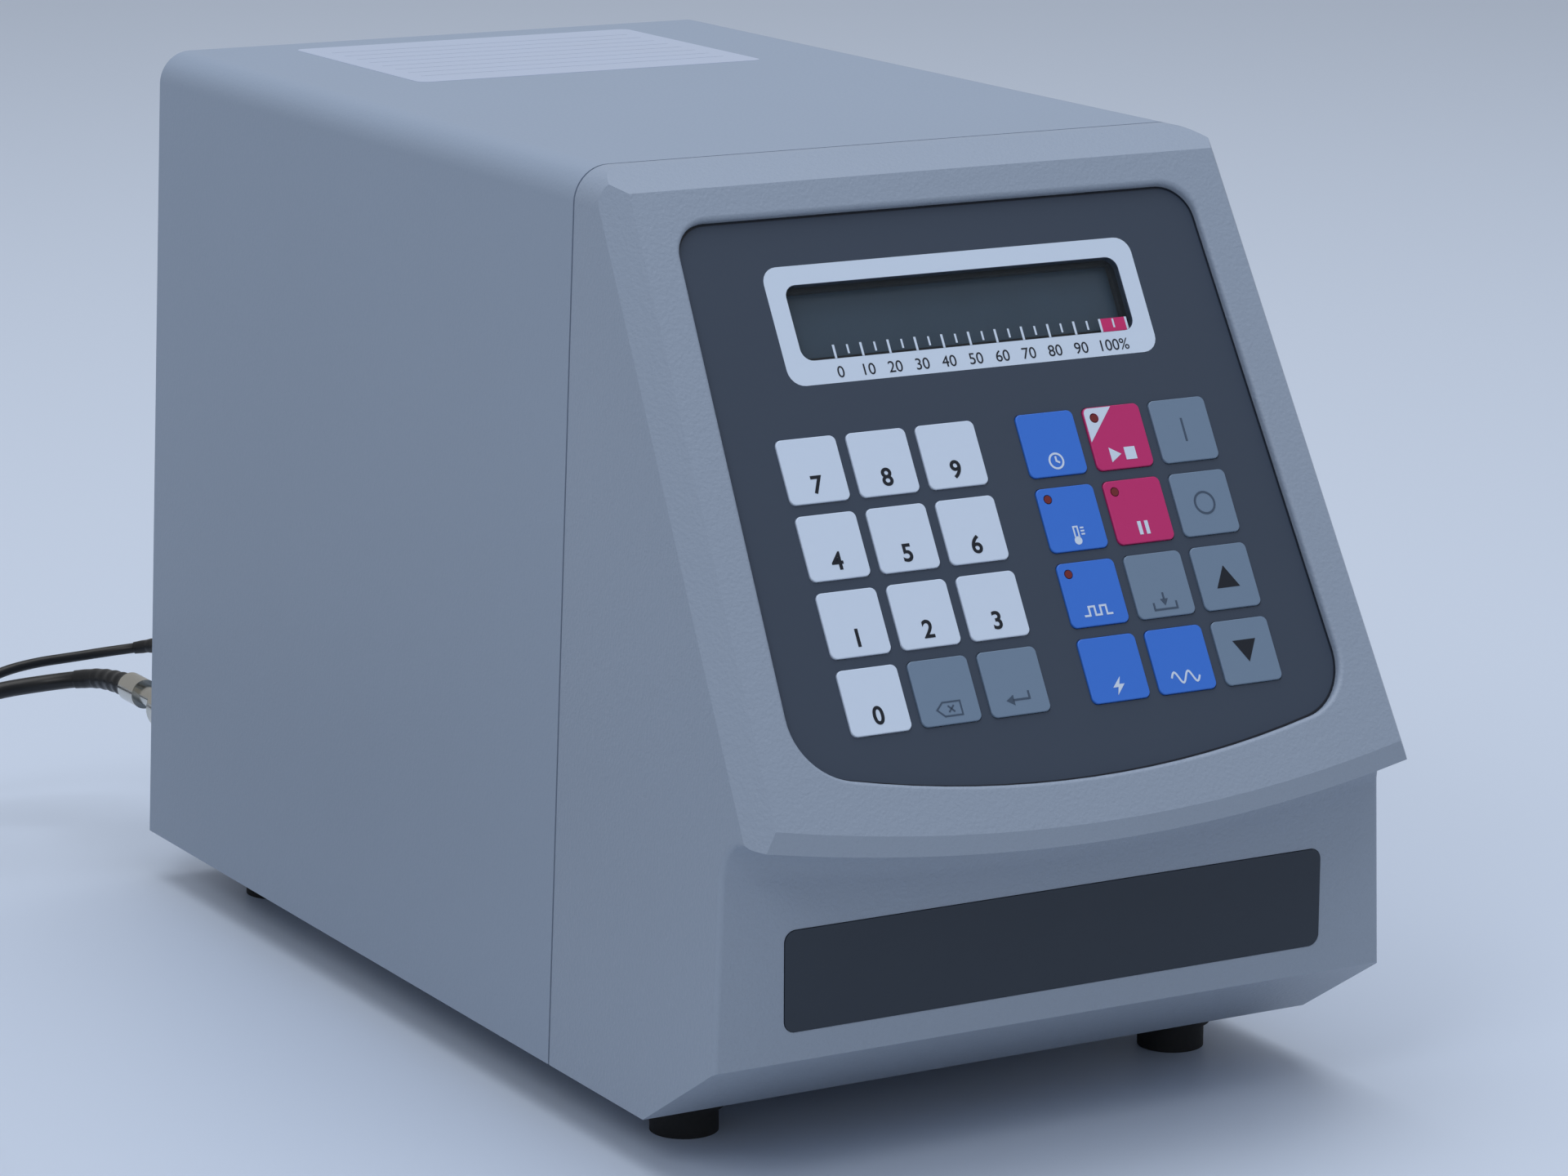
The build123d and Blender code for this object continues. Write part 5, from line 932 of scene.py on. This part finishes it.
def skin(name, rings, finish, closed=False):
    """A closed skin over rings of points, capped at its ends unless it closes on itself."""
    build = bmesh.new()
    loops = [[build.verts.new(point) for point in ring] for ring in rings]
    count = len(loops[0])
    for here, there in zip(loops, loops[1:] + (loops[:1] if closed else [])):
        for i in range(count):
            build.faces.new((here[i], here[(i + 1) % count], there[(i + 1) % count], there[i]))
    if not closed:
        build.faces.new(loops[0][::-1])
        build.faces.new(loops[-1])
    bmesh.ops.recalc_face_normals(build, faces=build.faces)
    for face in build.faces:
        face.smooth = len(face.verts) == 4 and not closed
    mesh = bpy.data.meshes.new(name)
    build.to_mesh(mesh)
    build.free()
    return joined(name, [mesh], finish, CASE_BODY)


def boot(name, line, length, wide, thin, ribs):
    """A tapered, ribbed sleeve around the first stretch of a lead's line."""
    rings, travelled = [], 0
    for here, there in zip(line, line[1:]):
        along = (there - here).normalized()
        side = along.cross(Vector((0, 0, 1))).normalized()
        steps = max(1, round((there - here).length / RING_GAP))
        for step in range(steps):
            share = travelled / length + (there - here).length * step / steps / length
            if share > 1:
                return skin(name, rings, jacket)
            radius = wide + (thin - wide) * share + RIB_DEPTH * sin(tau * ribs * share) * (1 - share)
            middle = here.lerp(there, step / steps)
            angles = [tau * i / RING_POINTS for i in range(RING_POINTS)]
            rings.append([middle + (side * cos(angle) + side.cross(along) * sin(angle)) * radius
                          for angle in angles])
        travelled += (there - here).length


cable_boot = boot("converter_cable_boot", cable_line, length=0.026, wide=0.0034,
                  thin=0.0027, ribs=6)
lead_boot = boot("temperature_lead_boot", lead_line, length=0.018, wide=0.0026,
                 thin=0.0017, ribs=5)
print("boots done")

# %% [markdown]
# Ties hold each coil. A tie is a thin band pulled tight around the bundle of turns, so its section
# is the hull of the turns' circles at that angle of the coil.

# %% Ties of the coils
BAND_THICK, BAND_WIDE = 0.0007, 0.0040
BENCH_GAP = 0.0001  # between a band and the bench, where it presses into the lowest turns
CABLE_TIE_ANGLES, LEAD_TIE_ANGLES = (205, 335), (250, 350)


def tie(name, coil, radius, degrees, rows, diameter):
    """A band around a coil's bundle, whose turns lie in these rows."""
    angle = radians(degrees)
    outwards, along = Vector((cos(angle), sin(angle), 0)), Vector((-sin(angle), cos(angle), 0))

    def circles(reach):
        return [spot for row in rows for spot in arc(row, reach, 0, 345, 23)]

    hull = convex_hull_2d(circles(diameter / 2))
    rings = []
    for thick, side in ((0, -1), (0, 1), (BAND_THICK, 1), (BAND_THICK, -1)):
        spots = circles(diameter / 2 + thick)
        floor = BENCH_GAP + BAND_THICK - thick
        loop = [(spots[index][0], max(floor, spots[index][1])) for index in hull]
        rings.append([coil + outwards * (radius + x) + Vector((0, 0, z)) + along * side * BAND_WIDE / 2
                      for x, z in loop])
    return skin(name, rings, black_moulding, closed=True)


cable_ties = [tie(f"cable_tie_{spot}", CABLE_COIL, CABLE_COIL_RADIUS, spot, CABLE_ROWS[:-1], CABLE_DIAMETER)
              for spot in CABLE_TIE_ANGLES]
lead_ties = [tie(f"lead_tie_{spot}", LEAD_COIL, LEAD_COIL_RADIUS, spot, LEAD_ROWS[:-1], LEAD_DIAMETER)
             for spot in LEAD_TIE_ANGLES]
print("ties:", len(cable_ties + lead_ties))

# %% [markdown]
# The three blades of the mains inlet are bare metal in a black moulding. They belong to the same
# solid, so a bright sleeve covers each one.

# %% Blades of the mains inlet
inlet_low, inlet_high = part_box("mains_inlet")
BLADE = Vector((0.0022, 0.0130, 0.0042))
BLADE_ROUND = 0.00035
BLADE_TIP = 0.0029  # inside the inlet's face
BLADE_SPREAD, BLADE_RISE = 0.007, 0.004
inlet_face = Vector(((inlet_low.x + inlet_high.x) / 2, inlet_high.y, (inlet_low.z + inlet_high.z) / 2))
blades = []
for x, z in ((0, BLADE_RISE), (-BLADE_SPREAD, 0), (BLADE_SPREAD, 0)):
    build = bmesh.new()
    bmesh.ops.create_cube(build, size=1)
    bmesh.ops.scale(build, vec=BLADE, verts=build.verts)
    bmesh.ops.bevel(build, geom=build.edges[:], offset=BLADE_ROUND, segments=2, affect="EDGES")
    bmesh.ops.translate(build, vec=inlet_face + Vector((x, -BLADE_TIP - BLADE.y / 2, z)), verts=build.verts)
    mesh = bpy.data.meshes.new("blade")
    build.to_mesh(mesh)
    build.free()
    blades.append(mesh)
joined("inlet_blades", blades, nickel, CASE_BODY)
print("inlet blades:", len(blades))

# %% [markdown]
# Each lead gets the jacket's finish and rides on the case, and the solids of the leads and coils are
# hidden. A list gathers what goes with the converter cable: its plug, knurl, boot and ties, and the tool at
# its far end.

for cord in (cable, lead):
    cord.data.materials.append(jacket.material)
    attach(cord, CASE_BODY)
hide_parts("converter_cable", "converter_cable_coil")
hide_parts("temp_lead", "temp_lead_coil")
on_cable = [smooth["converter_plug"], plug_knurl, cable_boot, *cable_ties]
on_cable += ["converter_housing", "converter_driver", "piezo_stack", "sonic_probe"]

# %% [markdown]
# The stage is a plain pale bench top and soft studio light: a bright sheet above, a weaker one high
# on the left, and an even sky. The bench top shows pale blue to the camera, but throws back neutral
# light, so that it doesn't colour the undersides. None of this is part of the object.

# %% Stage and light
FLOOR_SIZE = 30
floor_finish = Finish("bench_top", (216, 218, 220), roughness=0.5)
rays = ("Is Camera Ray", "Is Glossy Ray", "Is Transmission Ray")
seen = [floor_finish.node("ShaderNodeLightPath", {}, {}, ray) for ray in rays]
floor_finish.drive("Base Color", floor_finish.tint(seen[0] + seen[1] + seen[2], (206, 220, 242)))
half = FLOOR_SIZE / 2
floor_corners = [(-half, -half, 0), (half, -half, 0), (half, half, 0), (-half, half, 0)]
floor_mesh = bpy.data.meshes.new("bench_top")
floor_mesh.from_pydata(floor_corners, [], [(0, 1, 2, 3)])
floor_mesh.materials.append(floor_finish.material)
floor = bpy.data.objects.new("bench_top", floor_mesh)
bpy.context.scene.collection.objects.link(floor)


def sheet_light(name, place, target, size, watts):
    """A square soft light at a place, turned to its target."""
    light = bpy.data.lights.new(name, "AREA")
    light.size, light.energy = size, watts
    lamp = bpy.data.objects.new(name, light)
    lamp.location = place
    lamp.rotation_euler = (Vector(target) - Vector(place)).to_track_quat("-Z", "Y").to_euler()
    bpy.context.scene.collection.objects.link(lamp)


LIT = (0, 0, 0.1)  # what both sheets face
sheet_light("overhead", (0.1, 0.2, 2.4), LIT, size=2.2, watts=31)
sheet_light("high_left", (-1.7, -1.2, 1.9), LIT, size=0.9, watts=10)
world = bpy.data.worlds.new("sky")
world.use_nodes = True
bpy.context.scene.world = world
sky = world.node_tree.nodes["Background"]
sky.inputs["Color"].default_value = linear((250, 252, 255))
sky.inputs["Strength"].default_value = 0.42
print("stage and lights done")
